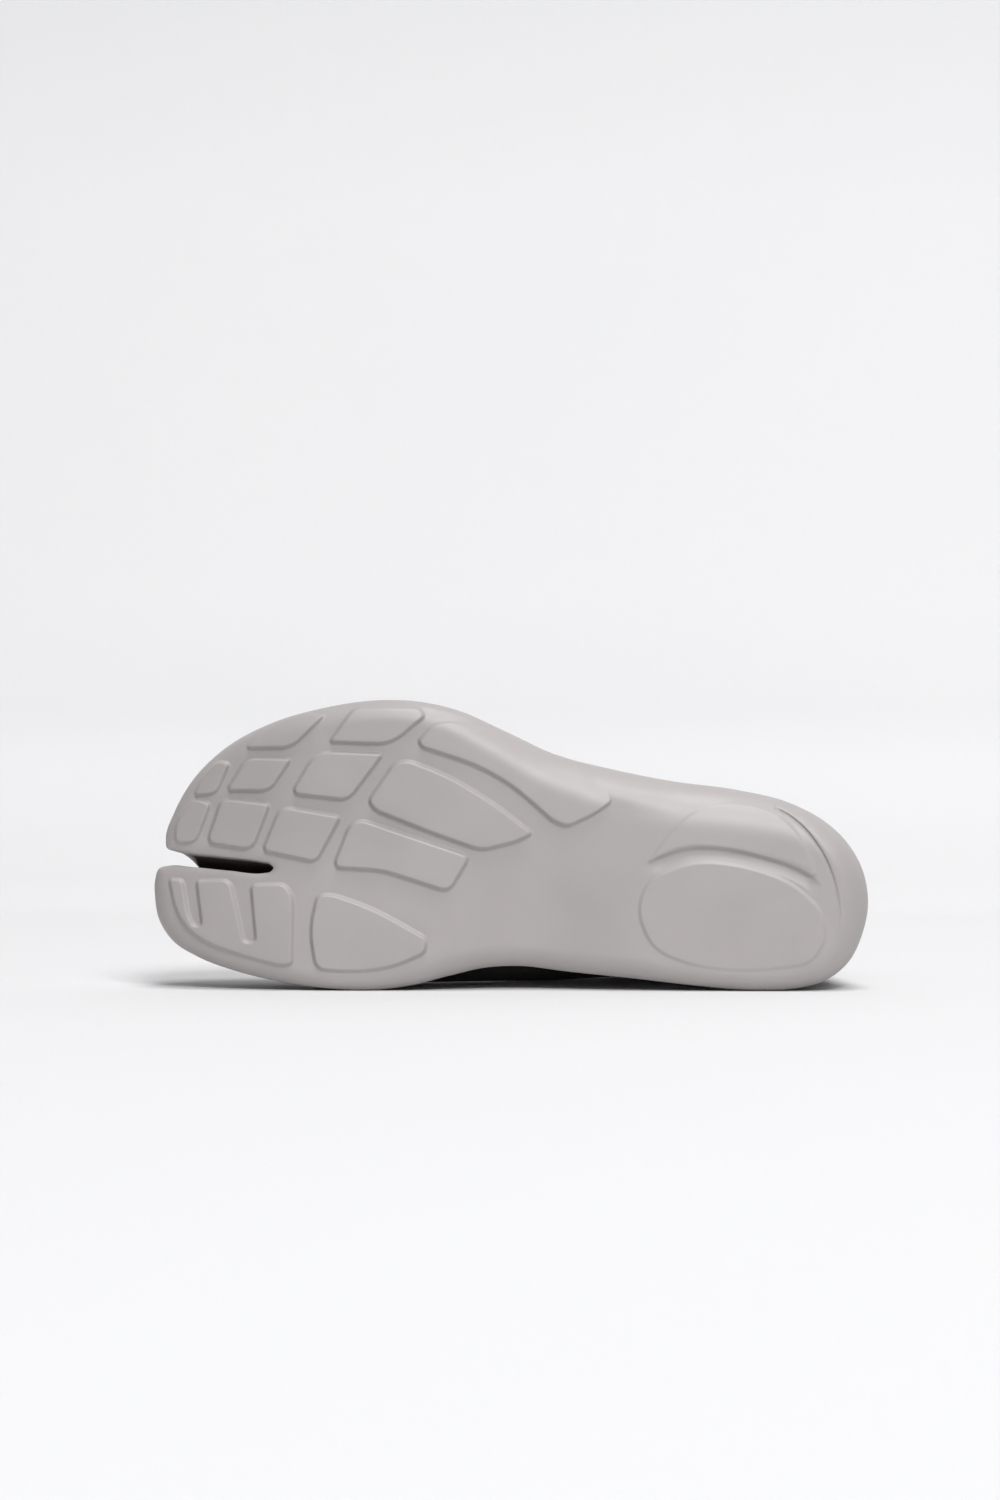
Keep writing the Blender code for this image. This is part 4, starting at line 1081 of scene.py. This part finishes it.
def makeStage():
    z, f = stageSizes, paperFinish
    profile = [(z["front"], 0.0)]
    for angle in np.radians(np.linspace(-90, 0, 17)):
        y = z["wallAt"] - z["bend"] + z["bend"] * math.cos(angle)
        profile.append((y, z["bend"] + z["bend"] * math.sin(angle)))
    profile.append((z["wallAt"], z["high"]))
    points = [(x, y, h) for x in (-z["wide"], z["wide"]) for y, h in profile]
    n = len(profile)
    mesh = bpy.data.meshes.new("studio_floor")
    mesh.from_pydata(points, [], [(k, k + n, k + n + 1, k + 1) for k in range(n - 1)])
    mesh.polygons.foreach_set("use_smooth", [True] * len(mesh.polygons))
    floor = putInScene("studio_floor", mesh)
    material, tree, shader, grain = startMaterial("studio_paper", f)
    wireFinish(tree, shader, f, grain["Tone"], grain["Height"])
    place = addNode(tree, "ShaderNodeTexCoord").outputs["Object"]
    high = addNode(tree, "ShaderNodeSeparateXYZ", Vector=place).outputs["Z"]
    ramp = addNode(tree, "ShaderNodeValToRGB", Fac=calc(tree, "DIVIDE", high, f["wallHigh"]))
    stops = ramp.color_ramp.elements
    while len(stops) < len(f["wallTones"]):
        stops.new(0.5)
    for stop, (where, tone) in zip(stops, f["wallTones"]):
        stop.position, stop.color = where, (tone, tone, tone, 1)
    paper = shader.inputs["Base Color"].links[0].from_socket
    seen = mixColour(tree, "MULTIPLY", 1.0, paper, ramp.outputs["Color"])
    camera = addNode(tree, "ShaderNodeLightPath").outputs["Is Camera Ray"]
    setInput(tree, shader, "Base Color", mixColour(tree, "MIX", camera, f["thrown"], seen))
    shader.inputs["Specular IOR Level"].default_value = f["sheen"]
    away = addNode(tree, "ShaderNodeVectorMath", {"operation": "LENGTH"}, Vector=place).outputs["Value"]
    fade = addNode(tree, "ShaderNodeMapRange", {"interpolation_type": "SMOOTHSTEP"}, Value=away,
                   From_Min=z["fadeTo"], From_Max=z["fadeFrom"]).outputs[0]
    behind = addNode(tree, "ShaderNodeNewGeometry").outputs["Backfacing"]  # seen through from behind
    setInput(tree, shader, "Alpha", calc(tree, "MULTIPLY", fade, calc(tree, "SUBTRACT", 1.0, behind)))
    floor.data.materials.append(material)


airTones = {"colour": (0.98, 0.98, 1.0, 1), "seen": 0.87, "lit": 0.01}  # as a background, and as a light
lightPlan = {  # place, aim, size, power
    "topBox": ((0.4, -0.5, 4.0), (0.0, 0.0, 0.05), 1.6, 92.0),
    "softBox": ((1.0, -2.9, 3.1), (0.0, 0.0, 0.05), 1.6, 130.0),
    "fillCard": ((-0.2, -4.2, 0.34), (0.0, 0.0, 0.05), 0.6, 16.0),
}


def makeLights():
    for name, (place, aim, size, power) in lightPlan.items():
        light = bpy.data.lights.new(name, "AREA")
        light.size = size
        light.energy = power
        lamp = putInScene(name, light)
        lamp.location = place
        lamp.rotation_euler = (Vector(aim) - Vector(place)).to_track_quat("-Z", "Y").to_euler()
    world = bpy.data.worlds.new("studio_air")
    world.use_nodes = True
    tree = world.node_tree
    back = tree.nodes["Background"]
    back.inputs["Color"].default_value = airTones["colour"]
    camera = addNode(tree, "ShaderNodeLightPath").outputs["Is Camera Ray"]
    setInput(tree, back, "Strength", calc(tree, "MULTIPLY_ADD", camera, airTones["seen"], airTones["lit"]))
    bpy.context.scene.world = world


cameraView = {
    "azimuthDeg": 1.0, "distance": 1.2, "aimX": -0.0037, "aimY": -0.067, "eyeHeight": 0.0918,
    "lens": 75.75, "sensorHigh": 36.0, "clipStart": 0.01,
}


def makeCamera():
    v = cameraView
    turn = math.radians(v["azimuthDeg"])
    data = bpy.data.cameras.new("photo_view")
    data.sensor_fit = "VERTICAL"
    data.sensor_height = v["sensorHigh"]
    data.lens = v["lens"]
    data.clip_start = v["clipStart"]
    camera = putInScene("photo_view", data)
    x = v["aimX"] + v["distance"] * math.sin(turn)
    y = v["aimY"] - v["distance"] * math.cos(turn)
    camera.location = (x, y, v["eyeHeight"])
    camera.rotation_euler = (math.radians(90), 0.0, turn)
    bpy.context.scene.camera = camera


makeStage()
makeLights()
makeCamera()
bpy.context.scene.view_settings.view_transform = "Standard"
print("stage, lights and camera made")
